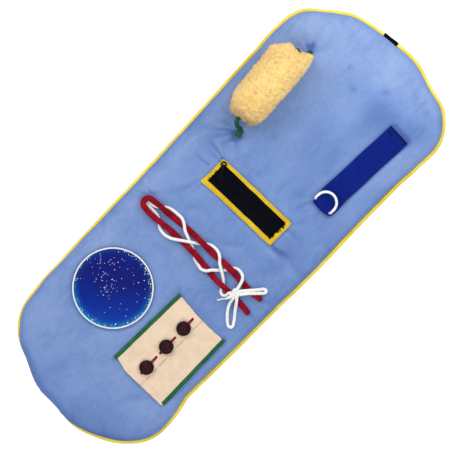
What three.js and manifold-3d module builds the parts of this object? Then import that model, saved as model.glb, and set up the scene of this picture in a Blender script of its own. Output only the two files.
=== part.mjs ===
// Sensory activity lap pad: a flat plush pad with a zip, a pull strap with a ring, a fleece roll on a cord,
// a laced tape, a gel disc and a buttoned flap sewn on its face.
// Millimetres, +Z up, +X along the pad. The origin is on the underside, below the middle of the outline.
import * as THREE from "three";
import { mergeVertices } from "three/addons/utils/BufferGeometryUtils.js";
import Module from "manifold-3d";

const wasm = await Module();
wasm.setup();

// Clearances that every piece shares
const seatGap = 0.3;
const cutOverrun = 2;

// Pad: a straight core line with a varying reach round it, to the outer side of the piping
const coreLength = 470;
const endReach = 153.5;
const upperSideShares = [1.014, 1.003, 0.99, 0.98, 0.977, 0.968];
const leftEndShares = [
  0.968, 0.989, 1.045, 1.046, 0.996, 1.002, 0.989, 1.038, 1.066, 1.1, 1.096, 1.008, 0.93,
];
const lowerSideShares = [0.93, 0.952, 0.967, 0.99, 0.988, 0.997];
const rightEndShares = [
  0.997, 1.054, 1.16, 1.16, 1.065, 1.042, 1.006, 1.011, 1.053, 1.072, 1.117, 1.058, 1.014,
];
const sideSteps = 10;
const endSteps = 18;

// How much of the piping shows outside the cover, as shares of its width
const upperShowShares = [0.65, 0.5, 0.45, 0.5, 0.35, 0.25];
const leftShowShares = [0.25, 0.3, 0, 0, 0.4, 0.65, 1.1];
const lowerShowShares = [1.1, 1.05, 1, 1.05, 1.1, 1.1];
const rightShowShares = [1.1, 1, 0.9, 1.15, 0.8, 0.6, 0.65];
const fullShowShare = 0.25;

// Pad layers
const frontThickness = 1.6;
const backThickness = 1.2;
const pipingRadius = 3;
const flangeThickness = 0.8;
const flangeReach = 5;
const seamHeight = 9;
const frontRise = 10.4;
const rollInset = 30;
const shoulderInset = 18;
const fillInset = 9;
const roundPower = 2.2;
const puffHeight = 3;
const puffRadius = 62;
const logoPuff = new THREE.Vector2(196, 4);
const rightPuff = new THREE.Vector2(322, 10);
const leftPuff = new THREE.Vector2(-336, -10);

// Blank tab folded over the seam
const tabThickness = 0.5;

// Zip panel
const zipCentre = new THREE.Vector2(48.6, 1);
const zipFrameWidth = 48.6;
const zipFrameCorner = 4;
const zipFrameThickness = 1;
const zipWindowWidth = 30.7;
const zipWindowLength = 132;
const zipFrameBorder = 7;
const zipWindowShift = 1;
const zipLap = 4;
const tapeThickness = 0.8;
const chainPitch = 3;
const toothRise = 1.2;
const toothRoot = 2.9;
const toothHead = 0.9;
const toothNeckWidth = 0.9;
const toothHeadWidth = 1.44;
const chainEndMargin = 5;
const stopLength = 2;
const topStopWidth = 2.4;
const bottomStopWidth = 6.4;
const chainLength = zipWindowLength - 2 * chainEndMargin - stopLength;
const zipFrameLength = zipWindowLength + 2 * zipFrameBorder;

// Slider and its pull
const sliderLength = 10.5;
const sliderFlare = 0.8;
const sliderPlate = 1;
const sliderWall = 0.8;
const pinRadius = 0.7;
const pinLength = 3.4;
const postThickness = 0.9;
const pullEyeRadius = 1.7;
const pullEyeWidth = 2.6;
const pullArmWidth = 3.4;
const pullThickness = 1.4;
const pullRingRadius = 4.75;
const pullRingBore = 2.7;
const pullReach = 20.5;
const pullTurn = THREE.MathUtils.degToRad(28);

// Pull strap, along its own x from the ring's bar to the sewn end
const strapPlace = new THREE.Vector2(125, -87.5);
const strapTurn = THREE.MathUtils.degToRad(-3.7);
const strapLength = 162.8;
const strapWidth = 39;
const strapThickness = 1.8;
const strapSewnLength = 9;
const strapReturn = 34;
const strapShoulder = 12;
const strapStep = 6;
const neckLength = 9;
const neckFlare = 7;

// D-ring
const ringWire = 2.35;
const ringReach = 16.65;
const ringLegs = 8;
const ringTilt = THREE.MathUtils.degToRad(13);

// Fleece roll and its cord
const rollPlace = new THREE.Vector2(208, 105.6);
const rollTurn = THREE.MathUtils.degToRad(3.9);
const rollRadius = 33;
const rollLength = 148;
const rollDish = 7;
const rollWallThickness = 9;
const rollBore = 5;
const rollFlutes = 9;
const rollFluteDepth = 2.2;
const rollCordRadius = 4;
const cordTabLength = 16;
const cordTabWidth = 11;
const cordTabThickness = 1.6;

// Gel disc
const discPlace = new THREE.Vector2(-190.9, 59.5);
const discRadius = 63.5;
const weltWidth = 3.3;
const weltHeight = 2.6;
const weltSideShare = 0.6;
const filmThickness = 0.6;
const gelEdge = 1.2;
const gelRise = 4.6;

// Button panel
const panelPlace = new THREE.Vector2(-198.5, -70);
const panelHalfWidth = 72.5;
const panelHalfHeight = 53.4;
const flapThickness = 1;
const hemThickness = 1.6;
const upperHemShare = -0.075;
const lowerTopShare = 0.37;
const rampLength = 6;
const hemLength = 5;
const bindingLength = 138.5;
const bindingWidth = 6;
const bindingThickness = 1.2;
const bindingTurn = THREE.MathUtils.degToRad(-2.3);
const slitLength = 35;
const slitWidth = 2.2;
const slitShift = 3.4;

// Buttons
const buttonShares = [0.52, -0.018, -0.627];
const buttonRowShare = 0.13;
const buttonRadius = 11.45;
const buttonThickness = 3.9;
const buttonWellShare = 0.62;
const buttonLift = 2;
const buttonHole = 1.1;
const buttonHolePitch = 1.6;
const threadRadius = 0.55;
const shankRadius = 0.7;

// Lacing: a flat red tube in a U, and a round white lace
const loopWidth = 9.5;
const loopHeight = 5.5;
const laceRadius = 2.5;
const laceRest = seatGap + laceRadius;
const laceOver = seatGap + loopHeight + seatGap + laceRadius;
const laceHalf = (laceRest + laceOver) / 2;
const loopRest = seatGap + loopHeight / 2;
const loopOver = laceRest + laceRadius + seatGap + loopHeight / 2 + seatGap;
const loopHalf = (loopRest + loopOver) / 2;
const knotPlace = new THREE.Vector2(-66.5, -82.8);
const knotRadius = 7.4;
const knotHalfHeight = 4.4;
const knotRest = seatGap + loopHeight + seatGap + knotHalfHeight;

// Heights that follow
const seat = seamHeight + flangeThickness / 2 + seatGap + frontRise + frontThickness;
const backDrop = seamHeight - flangeThickness / 2 - seatGap - backThickness;
const tapeTop = seatGap + tapeThickness;
const zipFrameTop = tapeTop + seatGap + zipFrameThickness;

// Colours
const plushBlue = 0x7f9dd3;
const pipingYellow = 0xedd25a;
const frameYellow = 0xebc82d;
const zipBlack = 0x0e0e18;
const strapNavy = 0x15277c;
const ringWhite = 0xf2f2ef;
const fleeceCream = 0xfdd489;
const cordGreen = 0x1e6941;
const gelBlue = 0x192374;
const muslin = 0xfde2c1;
const buttonBrown = 0x45282e;
const threadRed = 0x8c1e2a;
const laceRed = 0xa5192d;
const laceWhite = 0xf4f2ec;

const up = new THREE.Vector3(0, 0, 1);

// A named mesh with its own material
function piece(name, geometry, color, roughness = 0.9) {
  const mesh = new THREE.Mesh(geometry, new THREE.MeshStandardMaterial({ color, roughness, metalness: 0 }));
  mesh.name = name;
  return mesh;
}

// A group at a place on the pad, turned about the vertical
function placed(place, turn, height, ...pieces) {
  const group = new THREE.Group();
  group.position.set(place.x, place.y, height);
  group.rotation.z = turn;
  group.add(...pieces);
  return group;
}

// An indexed geometry with its shared vertices merged and its collapsed triangles left out
function closed(geometry) {
  const bare = new THREE.BufferGeometry().setAttribute("position", geometry.getAttribute("position"));
  bare.setIndex(geometry.index);
  const merged = mergeVertices(bare, seatGap / 1000);
  const kept = [];
  for (let i = 0; i < merged.index.count; i += 3) {
    const [a, b, c] = [0, 1, 2].map((k) => merged.index.getX(i + k));
    if (a !== b && b !== c && c !== a) kept.push(a, b, c);
  }
  return merged.setIndex(kept);
}

function solid(geometry) {
  const { attributes, index } = closed(geometry);
  const vertProperties = new Float32Array(attributes.position.array);
  const triVerts = new Uint32Array(index.array);
  return new wasm.Manifold(new wasm.Mesh({ numProp: 3, vertProperties, triVerts }));
}

function geometryOf(manifold) {
  const { vertProperties, triVerts } = manifold.getMesh();
  return new THREE.BufferGeometry()
    .setAttribute("position", new THREE.BufferAttribute(vertProperties, 3))
    .setIndex(new THREE.BufferAttribute(triVerts, 1));
}

function joined(first, ...rest) {
  return geometryOf(rest.reduce((sum, next) => sum.add(solid(next)), solid(first)));
}

function cut(body, ...tools) {
  return geometryOf(tools.reduce((left, tool) => left.subtract(solid(tool)), solid(body)));
}

function common(first, second) {
  return geometryOf(solid(first).intersect(solid(second)));
}

// A flat plate with its underside at a height
function plate(shape, thickness, height = 0, curveSegments = 6) {
  const geometry = new THREE.ExtrudeGeometry(shape, { depth: thickness, bevelEnabled: false, curveSegments });
  return geometry.translate(0, 0, height);
}

function box(width, length, height, x = 0, y = 0, z = 0) {
  return new THREE.BoxGeometry(width, length, height).translate(x, y, z + height / 2);
}

function roundedRectangle(width, length, corner) {
  const [x, y] = [width / 2, length / 2];
  const shape = new THREE.Shape();
  shape.absarc(x - corner, y - corner, corner, 0, Math.PI / 2);
  shape.absarc(corner - x, y - corner, corner, Math.PI / 2, Math.PI);
  shape.absarc(corner - x, corner - y, corner, Math.PI, 1.5 * Math.PI);
  shape.absarc(x - corner, corner - y, corner, 1.5 * Math.PI, 2 * Math.PI);
  return shape;
}

function polygon(points) {
  return new THREE.Shape(points.map(([x, y]) => new THREE.Vector2(x, y)));
}

// A solid of revolution about +Z from a closed or axis-to-axis profile of [radius, height]
function turned(profile, segments) {
  const points = profile.map(([radius, height]) => new THREE.Vector2(radius, height));
  return new THREE.LatheGeometry(points, segments).rotateX(Math.PI / 2);
}

// Triangles between rows of equally many points, each row closed on itself
function skin(index, rows, firstOf, count, flipped = false) {
  for (let row = 0; row + 1 < rows; row++) {
    for (let i = 0; i < count; i++) {
      const next = (i + 1) % count;
      const [a, b] = [firstOf(row) + i, firstOf(row) + next];
      const [c, d] = [firstOf(row + 1) + next, firstOf(row + 1) + i];
      index.push(...(flipped ? [a, c, b, a, d, c] : [a, b, c, a, c, d]));
    }
  }
}

// A tube along points, with an oval section that is "wide" across the route and "high" away from the pad
function tube(route, wide, high, sides, loop = false) {
  const positions = [];
  const index = [];
  const last = route.length - 1;
  route.forEach((point, i) => {
    const before = loop ? route[(i + last) % route.length] : route[Math.max(i - 1, 0)];
    const after = loop ? route[(i + 1) % route.length] : route[Math.min(i + 1, last)];
    const along = after.clone().sub(before).normalize();
    const across = along.clone().cross(up).normalize();
    const away = across.clone().cross(along);
    for (let k = 0; k < sides; k++) {
      const angle = (2 * Math.PI * (k + 0.5)) / sides;
      const corner = point.clone();
      corner.addScaledVector(across, (Math.cos(angle) * wide) / 2);
      corner.addScaledVector(away, (Math.sin(angle) * high) / 2);
      positions.push(...corner);
    }
  });
  skin(index, route.length, (row) => row * sides, sides, true);
  if (loop) skin(index, 2, (row) => (row ? 0 : last * sides), sides, true);
  for (let k = 1; k + 1 < sides && !loop; k++) {
    index.push(0, k, k + 1);
    index.push(last * sides, last * sides + k + 1, last * sides + k);
  }
  const geometry = new THREE.BufferGeometry();
  geometry.setAttribute("position", new THREE.Float32BufferAttribute(positions, 3));
  return geometry.setIndex(index);
}

// Evenly spaced points on a smooth curve through a cord's points, never lower than the lowest of them
function cordRoute(points, steps) {
  const through = points.map(([x, y, z]) => new THREE.Vector3(x, y, z));
  const curve = new THREE.CatmullRomCurve3(through, false, "centripetal");
  const lowest = Math.min(...points.map(([, , z]) => z));
  const route = curve.getSpacedPoints(steps);
  route.forEach((point) => point.setZ(Math.max(point.z, lowest)));
  return route;
}

// The share at a place from 0 to 1 along a table, on a smooth curve through it
function shareAt(shares, place) {
  return new THREE.SplineCurve(shares.map((share, i) => new THREE.Vector2(i, share))).getPoint(place).y;
}

// One station of the pad's outline: its point on the core line, its direction, and the seam and cover edge
function station(coreX, angle, reachShares, showShares, place) {
  const show = Math.max(shareAt(showShares, place), 0);
  const tucked = 1 - Math.min(show / fullShowShare, 1);
  const inset = pipingRadius + tucked * (frontThickness + seatGap);
  const seam = endReach * shareAt(reachShares, place) - inset;
  const edge = inset - show * 2 * pipingRadius;
  return { coreX, cos: Math.cos(angle), sin: Math.sin(angle), seam, edge };
}

// The outline, anticlockwise from the right end of the upper side
function outlineStations() {
  const list = [];
  for (let i = 0; i < sideSteps; i++) {
    const place = i / sideSteps;
    list.push(station(coreLength * (0.5 - place), Math.PI / 2, upperSideShares, upperShowShares, place));
  }
  for (let i = 0; i < endSteps; i++) {
    const place = i / endSteps;
    list.push(station(-coreLength / 2, Math.PI * (0.5 + place), leftEndShares, leftShowShares, place));
  }
  for (let i = 0; i < sideSteps; i++) {
    const place = i / sideSteps;
    list.push(station(coreLength * (place - 0.5), -Math.PI / 2, lowerSideShares, lowerShowShares, place));
  }
  for (let i = 0; i < endSteps; i++) {
    const place = i / endSteps;
    list.push(station(coreLength / 2, Math.PI * (place - 0.5), rightEndShares, rightShowShares, place));
  }
  return list;
}

const stations = outlineStations();

// Rings of the pad's layers, each as a station's distance out from the core line
const insideRing = (share) => (at) => share * (at.seam - rollInset);
const insetRing = (inset) => (at) => at.seam - inset;
const rimRing = (share) => (at) => at.seam + THREE.MathUtils.lerp(-fillInset, at.edge, share);
const plateauRings = [0, 0.34, 0.67, 1].map(insideRing);
const flatRings = [0, 1].map(insideRing);
const shoulderRings = [insetRing(shoulderInset), insetRing(fillInset)];
const backEdge = (at) => at.seam - pipingRadius - 2 * seatGap;

// A quarter round that rises from 0 at the edge to 1 on the flat
function quarterRound(share) {
  const left = 1 - THREE.MathUtils.clamp(share, 0, 1);
  return (1 - left ** roundPower) ** (1 / roundPower);
}

// A puff of the cushion between what is sewn on it
function puffAt(x, y) {
  const rise = (centre) => Math.max(1 - (Math.hypot(x - centre.x, y - centre.y) / puffRadius) ** 2, 0) ** 2;
  return puffHeight * (rise(logoPuff) + rise(rightPuff) + rise(leftPuff));
}

// The inner face of the front cover: it rises from its edge, and wraps over the piping where it meets it
function frontInner(at, distance, x, y) {
  const out = distance - at.seam;
  const rise = frontRise * quarterRound((at.edge - out) / (at.edge + rollInset));
  const wrapRadius = pipingRadius + 2 * seatGap;
  const wrap = Math.sqrt(Math.max(wrapRadius ** 2 - out ** 2, 0)) - flangeThickness / 2;
  return seamHeight + flangeThickness / 2 + seatGap + Math.max(rise, wrap) + puffAt(x, y);
}

function backInner(at, distance) {
  const out = distance - at.seam;
  const edge = -pipingRadius - 2 * seatGap;
  const drop = backDrop * quarterRound((edge - out) / (edge + rollInset));
  return seamHeight - flangeThickness / 2 - seatGap - drop;
}

// A closed layer of the pad between an upper and a lower height, whose rings share their outermost ring
function layer(upperRings, upperHeight, lowerRings, lowerHeight) {
  const positions = [];
  const index = [];
  const count = stations.length;
  const addRows = (rings, height) => {
    const first = positions.length / 3;
    rings.forEach((ring) => {
      stations.forEach((at) => {
        const distance = ring(at);
        const [x, y] = [at.coreX + at.cos * distance, at.sin * distance];
        positions.push(x, y, height(at, distance, x, y));
      });
    });
    return (row) => first + row * count;
  };
  const upperRow = addRows(upperRings, upperHeight);
  const lowerRow = addRows(lowerRings, lowerHeight);
  const lowerCount = lowerRings.length;
  skin(index, upperRings.length, (row) => upperRow(upperRings.length - 1 - row), count);
  skin(index, lowerCount, (row) => lowerRow(lowerCount - 1 - row), count, true);
  skin(index, 2, (row) => (row ? upperRow(upperRings.length - 1) : lowerRow(lowerCount - 1)), count);
  const geometry = new THREE.BufferGeometry();
  geometry.setAttribute("position", new THREE.Float32BufferAttribute(positions, 3));
  return closed(geometry.setIndex(index));
}

function padPieces() {
  const frontRings = [...plateauRings, ...shoulderRings, ...[0.45, 0.75, 1].map(rimRing)];
  const backRings = [...flatRings, ...shoulderRings, backEdge];
  const fillRings = [...plateauRings, ...shoulderRings];
  const fillBackRings = [...flatRings, ...shoulderRings];
  const frontOuter = (...where) => frontInner(...where) + frontThickness;
  const backOuter = (...where) => backInner(...where) - backThickness;
  const fillTop = (...where) => frontInner(...where) - seatGap;
  const fillBottom = (...where) => backInner(...where) + seatGap;
  return [
    piece("front_cover", layer(frontRings, frontOuter, frontRings, frontInner), plushBlue),
    piece("back_cover", layer(backRings, backInner, backRings, backOuter), plushBlue),
    piece("filling", layer(fillRings, fillTop, fillBackRings, fillBottom), ringWhite),
    piece("edge_piping", pipingGeometry(), pipingYellow),
    piece("label_tab", labelTabGeometry(), zipBlack),
  ];
}

// The piping: a round bead with a flat flange held between the covers
function pipingSection() {
  const halfFlange = flangeThickness / 2;
  const start = Math.PI - Math.asin(halfFlange / pipingRadius);
  const bead = [0, 1, 2, 3, 4, 5, 6].map((i) => start * (1 - i / 3));
  const round = bead.map((angle) => [pipingRadius * Math.cos(angle), pipingRadius * Math.sin(angle)]);
  const inner = -pipingRadius - flangeReach;
  return [...round, [inner, -halfFlange], [inner, halfFlange]].reverse();
}

function pipingGeometry() {
  const section = pipingSection();
  const positions = [];
  const index = [];
  section.forEach(([out, height]) => {
    stations.forEach((at) => {
      const distance = at.seam + out;
      positions.push(at.coreX + at.cos * distance, at.sin * distance, seamHeight + height);
    });
  });
  const rows = section.length;
  skin(index, rows + 1, (row) => (row % rows) * stations.length, stations.length);
  const geometry = new THREE.BufferGeometry();
  geometry.setAttribute("position", new THREE.Float32BufferAttribute(positions, 3));
  return geometry.setIndex(index);
}

// The tab is folded round the piping along the first facet above the middle of the right end
function labelTabGeometry() {
  const first = 2 * sideSteps + endSteps + endSteps / 2;
  const [from, to] = [stations[first], stations[first + 1]];
  const corner = (at) => new THREE.Vector2(at.coreX + at.cos * at.seam, at.sin * at.seam);
  const [start, end] = [corner(from), corner(to)];
  const inner = pipingRadius + seatGap;
  const outer = inner + tabThickness;
  const shape = new THREE.Shape();
  shape.absarc(0, 0, outer, -Math.PI / 2, Math.PI / 2, false);
  shape.lineTo(-pipingRadius, outer);
  shape.lineTo(-pipingRadius, inner);
  shape.absarc(0, 0, inner, Math.PI / 2, -Math.PI / 2, true);
  shape.lineTo(-pipingRadius, -inner);
  shape.lineTo(-pipingRadius, -outer);
  const length = end.distanceTo(start);
  const geometry = new THREE.ExtrudeGeometry(shape, { depth: length, bevelEnabled: false, curveSegments: 6 });
  const turn = Math.atan2(end.y - start.y, end.x - start.x) - Math.PI / 2;
  geometry.rotateX(Math.PI / 2).translate(0, length, 0).rotateZ(turn);
  return geometry.translate(start.x, start.y, seamHeight);
}

// A tooth from above: a narrow root on the tape and a wider head past the middle of the chain
function toothShape(side, y) {
  const [neck, head] = [toothNeckWidth / 2, toothHeadWidth / 2];
  const [root, tip] = [side * toothRoot, -side * toothHead];
  return polygon([[root, y - neck], [tip, y - head], [tip, y + head], [root, y + neck]]);
}

// One tape of the zip with its row of teeth; side is -1 for the left tape and 1 for the right one
function tapeGeometry(side) {
  const tapeEdge = toothRoot - tapeThickness;
  const width = zipWindowWidth / 2 + zipLap - tapeEdge;
  const length = zipWindowLength + 2 * zipLap;
  const tape = box(width, length, tapeThickness, side * (tapeEdge + width / 2), 0, seatGap);
  const chainStart = -zipWindowLength / 2 + chainEndMargin + stopLength;
  const offset = side > 0 ? chainPitch / 2 : 0;
  const teeth = [];
  for (let y = chainStart + chainPitch + offset; y < chainStart + chainLength; y += chainPitch) {
    teeth.push(solid(plate(toothShape(side, y), tapeThickness / 2 + toothRise, seatGap + tapeThickness / 2)));
  }
  return geometryOf(teeth.reduce((sum, tooth) => sum.add(tooth), solid(tape)));
}

function zipFrameGeometry() {
  const outline = roundedRectangle(zipFrameWidth, zipFrameLength, zipFrameCorner);
  const frame = plate(outline, zipFrameTop - seatGap, seatGap);
  const window = box(zipWindowWidth, zipWindowLength, zipFrameTop + cutOverrun, 0, zipWindowShift);
  const recessWidth = zipWindowWidth + 2 * (zipLap + seatGap);
  const recessLength = zipWindowLength + 2 * (zipLap + seatGap);
  const recessHeight = tapeTop + seatGap + cutOverrun;
  const recess = box(recessWidth, recessLength, recessHeight, 0, zipWindowShift, -cutOverrun);
  return cut(frame, window, recess);
}

// The slider: a plate with side walls round the teeth, and two posts that hold the pull's pin
function sliderGeometry() {
  const plateFloor = tapeTop + toothRise + seatGap;
  const nose = toothRoot + seatGap + sliderWall;
  const heel = nose + sliderFlare;
  const half = sliderLength / 2;
  const wedge = polygon([[-nose, -half], [nose, -half], [heel, half], [-heel, half]]);
  const body = plate(wedge, plateFloor + sliderPlate - tapeTop - seatGap, tapeTop + seatGap);
  const channel = box(
    2 * (toothRoot + seatGap),
    sliderLength + 2 * cutOverrun,
    toothRise + cutOverrun,
    0,
    0,
    plateFloor - toothRise - cutOverrun,
  );
  const post = (side) => {
    const offset = (side * (pinLength + postThickness)) / 2;
    const size = pullHeight - plateFloor + pinRadius;
    return box(2 * pinRadius, postThickness, size, 0, offset, plateFloor).rotateZ(pullTurn);
  };
  const pin = new THREE.CylinderGeometry(pinRadius, pinRadius, pinLength + postThickness, 8);
  pin.rotateZ(pullTurn).translate(0, 0, pullHeight);
  return geometryOf(solid(joined(cut(body, channel), post(-1), post(1))).add(solid(pin)));
}

// The pull lies from its pin down to the frame
const pullHeight = tapeTop + toothRise + seatGap + sliderPlate + seatGap + pullEyeRadius;
const pullLength = pullReach + pullRingRadius;
const pullDroop = Math.asin((pullHeight - pullThickness / 2 - zipFrameTop - seatGap) / pullLength);

function pullGeometry() {
  const eye = new THREE.CylinderGeometry(pullEyeRadius, pullEyeRadius, pullEyeWidth, 12);
  const bore = new THREE.CylinderGeometry(pinRadius + seatGap, pinRadius + seatGap, 2 * pullEyeWidth, 10);
  const armLength = pullReach - pullRingBore;
  const arm = box(armLength, pullArmWidth, pullThickness, armLength / 2, 0, -pullThickness / 2);
  const clear = box(2 * pullEyeRadius + seatGap, 2 * pullArmWidth, 2 * pullThickness, 0, 0, -pullThickness);
  const eyeNeck = pullEyeRadius + seatGap;
  const neck = box(eyeNeck, pullEyeWidth, pullThickness, pullEyeRadius, 0, -pullThickness / 2);
  const ring = new THREE.CylinderGeometry(pullRingRadius, pullRingRadius, pullThickness, 20);
  const hole = new THREE.CylinderGeometry(pullRingBore, pullRingBore, 2 * pullThickness, 16);
  ring.rotateX(Math.PI / 2).translate(pullReach, 0, 0);
  hole.rotateX(Math.PI / 2).translate(pullReach, 0, 0);
  const body = joined(cut(arm, clear), neck, eye, ring);
  return cut(body, bore, hole);
}

function zipPieces() {
  const window = new THREE.Group();
  window.position.y = zipWindowShift;
  const chainTop = -zipWindowLength / 2 + chainEndMargin + stopLength + chainLength;
  const stopHeight = toothRise + seatGap;
  const bottomStop = box(
    bottomStopWidth,
    stopLength,
    stopHeight,
    0,
    chainTop - chainLength - stopLength / 2 + seatGap,
    tapeTop + seatGap,
  );
  const topStop = (side) => {
    const x = side * (toothRoot - seatGap);
    return box(topStopWidth, stopLength, stopHeight, x, chainTop + stopLength, tapeTop + seatGap);
  };
  const slider = new THREE.Group();
  slider.position.y = chainTop - sliderLength / 2;
  const pull = new THREE.Group();
  pull.position.z = pullHeight;
  pull.rotation.set(0, pullDroop, pullTurn, "ZYX");
  pull.add(piece("zip_pull", pullGeometry(), zipBlack, 0.4));
  slider.add(piece("zip_slider", sliderGeometry(), zipBlack, 0.4), pull);
  window.add(
    piece("zip_tape_left", tapeGeometry(-1), zipBlack),
    piece("zip_tape_right", tapeGeometry(1), zipBlack),
    piece("zip_bottom_stop", bottomStop, zipBlack, 0.4),
    piece("zip_top_stop_left", topStop(-1), zipBlack, 0.4),
    piece("zip_top_stop_right", topStop(1), zipBlack, 0.4),
    slider,
  );
  return placed(zipCentre, 0, seat, piece("zip_frame", zipFrameGeometry(), frameYellow), window);
}

// Heights of the strap's fold round the ring's bar
const foldInner = ringWire + seatGap;
const foldOuter = foldInner + strapThickness;
const barHeight = seatGap + foldOuter;

// The strap's side view: a short return on the pad, the fold round the bar, and the long upper run
function strapSide() {
  const hinge = strapLength - strapSewnLength - seatGap;
  const low = seatGap;
  const high = low + strapThickness + seatGap;
  const stepStart = strapReturn + seatGap;
  const shape = new THREE.Shape();
  shape.moveTo(strapReturn, low);
  shape.absarc(0, barHeight, foldOuter, -Math.PI / 2, Math.PI / 2, true);
  shape.lineTo(strapShoulder, high + strapThickness);
  shape.lineTo(stepStart, high + strapThickness);
  shape.lineTo(stepStart + strapStep, low + strapThickness);
  shape.lineTo(hinge, low + strapThickness);
  shape.lineTo(hinge, low);
  shape.lineTo(stepStart + strapStep, low);
  shape.lineTo(stepStart, high);
  shape.lineTo(strapShoulder, high);
  shape.absarc(0, barHeight, foldInner, Math.PI / 2, 1.5 * Math.PI, false);
  shape.lineTo(strapReturn, low + strapThickness);
  return shape;
}

function strapGeometry() {
  const side = plate(strapSide(), strapWidth, 0, 8);
  side.rotateX(Math.PI / 2).translate(0, strapWidth / 2, 0);
  const neck = ringReach - ringWire - seatGap;
  const wide = strapWidth / 2 + cutOverrun;
  const flare = neckLength + neckFlare;
  const far = strapLength + cutOverrun;
  const near = -foldOuter - cutOverrun;
  const half = [[near, neck], [neckLength, neck], [flare, strapWidth / 2], [flare, wide], [far, wide]];
  const mirrored = half.map(([x, y]) => [x, -y]).reverse();
  const plan = plate(polygon([...half, ...mirrored]), barHeight + foldOuter + cutOverrun);
  return common(side, plan);
}

// The D-ring's centreline: a straight bar, two legs and a half circle
function ringRoute() {
  const points = [new THREE.Vector3(0, -ringReach, 0)];
  const arcSteps = 14;
  for (let i = 0; i <= arcSteps; i++) {
    const angle = Math.PI * (i / arcSteps - 0.5);
    points.push(new THREE.Vector3(ringLegs + ringReach * Math.cos(angle), ringReach * Math.sin(angle), 0));
  }
  points.push(new THREE.Vector3(0, ringReach, 0));
  return points;
}

function strapPieces() {
  const ring = new THREE.Group();
  ring.position.z = barHeight;
  ring.rotation.y = -ringTilt;
  ring.add(piece("d_ring", tube(ringRoute(), 2 * ringWire, 2 * ringWire, 8, true), ringWhite, 0.35));
  const sewnMiddle = strapLength - strapSewnLength / 2;
  const sewn = box(strapSewnLength, strapWidth, strapThickness, sewnMiddle, 0, seatGap);
  return placed(
    strapPlace,
    strapTurn,
    seat,
    piece("strap", strapGeometry(), strapNavy),
    piece("strap_sewn_end", sewn, strapNavy),
    ring,
  );
}

// The fleece sleeve: a body of revolution whose ends are drawn in round the cord, with flutes
function fleeceGeometry() {
  const half = rollLength / 2;
  const lip = half - rollDish;
  const cavity = rollRadius - rollWallThickness;
  const cavityHalf = lip - rollWallThickness;
  const radiusShares = [0.37, 0.63, 0.88, 0.985, 1];
  const lengthShares = [0.965, 1, 0.965, 0.83, 0.4];
  const right = radiusShares.map((share, i) => [rollRadius * share, half * lengthShares[i]]);
  const left = right.map(([radius, x]) => [radius, -x]).reverse();
  const outside = [[rollBore, lip], ...right, ...left, [rollBore, -lip]];
  const inside = [
    [rollBore, -cavityHalf],
    [cavity, -cavityHalf],
    [cavity, cavityHalf],
    [rollBore, cavityHalf],
  ];
  const profile = [...outside, ...inside, [rollBore, lip]].reverse();
  const geometry = turned(profile, 4 * rollFlutes);
  const places = geometry.getAttribute("position");
  for (let i = 0; i < places.count; i++) {
    const [x, y, z] = [places.getX(i), places.getY(i), places.getZ(i)];
    const share = Math.hypot(x, y) / rollRadius;
    const onEnd = Math.abs(z) > lip && share > 0.3 && share < 0.95;
    const wave = Math.cos(rollFlutes * Math.atan2(y, x)) * rollFluteDepth;
    if (onEnd) places.setZ(i, z + (Math.sign(z) * wave) / 2);
  }
  return geometry.rotateY(Math.PI / 2);
}

function coreGeometry() {
  const half = rollLength / 2 - rollDish - rollWallThickness - seatGap;
  const radius = rollRadius - rollWallThickness - seatGap;
  const bore = rollCordRadius + 2 * seatGap;
  const profile = [[bore, -half], [radius, -half], [radius, half], [bore, half], [bore, -half]];
  return turned(profile, 24).rotateY(Math.PI / 2);
}

// The cord's points in the roll's own frame, above the pad's face
const rollAxis = seatGap + rollRadius;
const rollCordPoints = [
  [-93.5, -19, seatGap + rollCordRadius + 1],
  [-92.3, -14.5, 9],
  [-91.2, -9.5, 17],
  [-88, -4.5, 25.5],
  [-81.5, -1, 31.5],
  [-72, 0, rollAxis],
  [-40, 0, rollAxis],
  [0, 0, rollAxis],
  [40, 0, rollAxis],
  [72, 0, rollAxis],
  [81.5, -1, 31.5],
  [87, -5, 25.5],
  [88.2, -11, 17],
  [85.5, -16.5, 9],
  [81, -21, seatGap + rollCordRadius + 1],
];

function cordTab(x, y, turn) {
  const tab = roundedRectangle(cordTabLength, cordTabWidth, cordTabWidth / 4);
  return plate(tab, cordTabThickness, seatGap, 3).rotateZ(turn).translate(x, y, 0);
}

function rollPieces() {
  const roll = new THREE.Group();
  roll.position.z = rollAxis;
  roll.add(
    piece("roll_fleece", fleeceGeometry(), fleeceCream),
    piece("roll_core", coreGeometry(), ringWhite),
  );
  const route = cordRoute(rollCordPoints, 30);
  const width = 2 * rollCordRadius;
  const [left, right] = [rollCordPoints[0], rollCordPoints.at(-1)];
  const drop = cordTabWidth / 2;
  return placed(
    rollPlace,
    rollTurn,
    seat,
    roll,
    piece("roll_cord", tube(route, width, width, 8), cordGreen),
    piece("roll_cord_tab_left", cordTab(left[0], left[1] - drop / 2, Math.PI / 5), cordGreen),
    piece("roll_cord_tab_right", cordTab(right[0], right[1] - drop / 2, -Math.PI / 5), cordGreen),
  );
}

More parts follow.
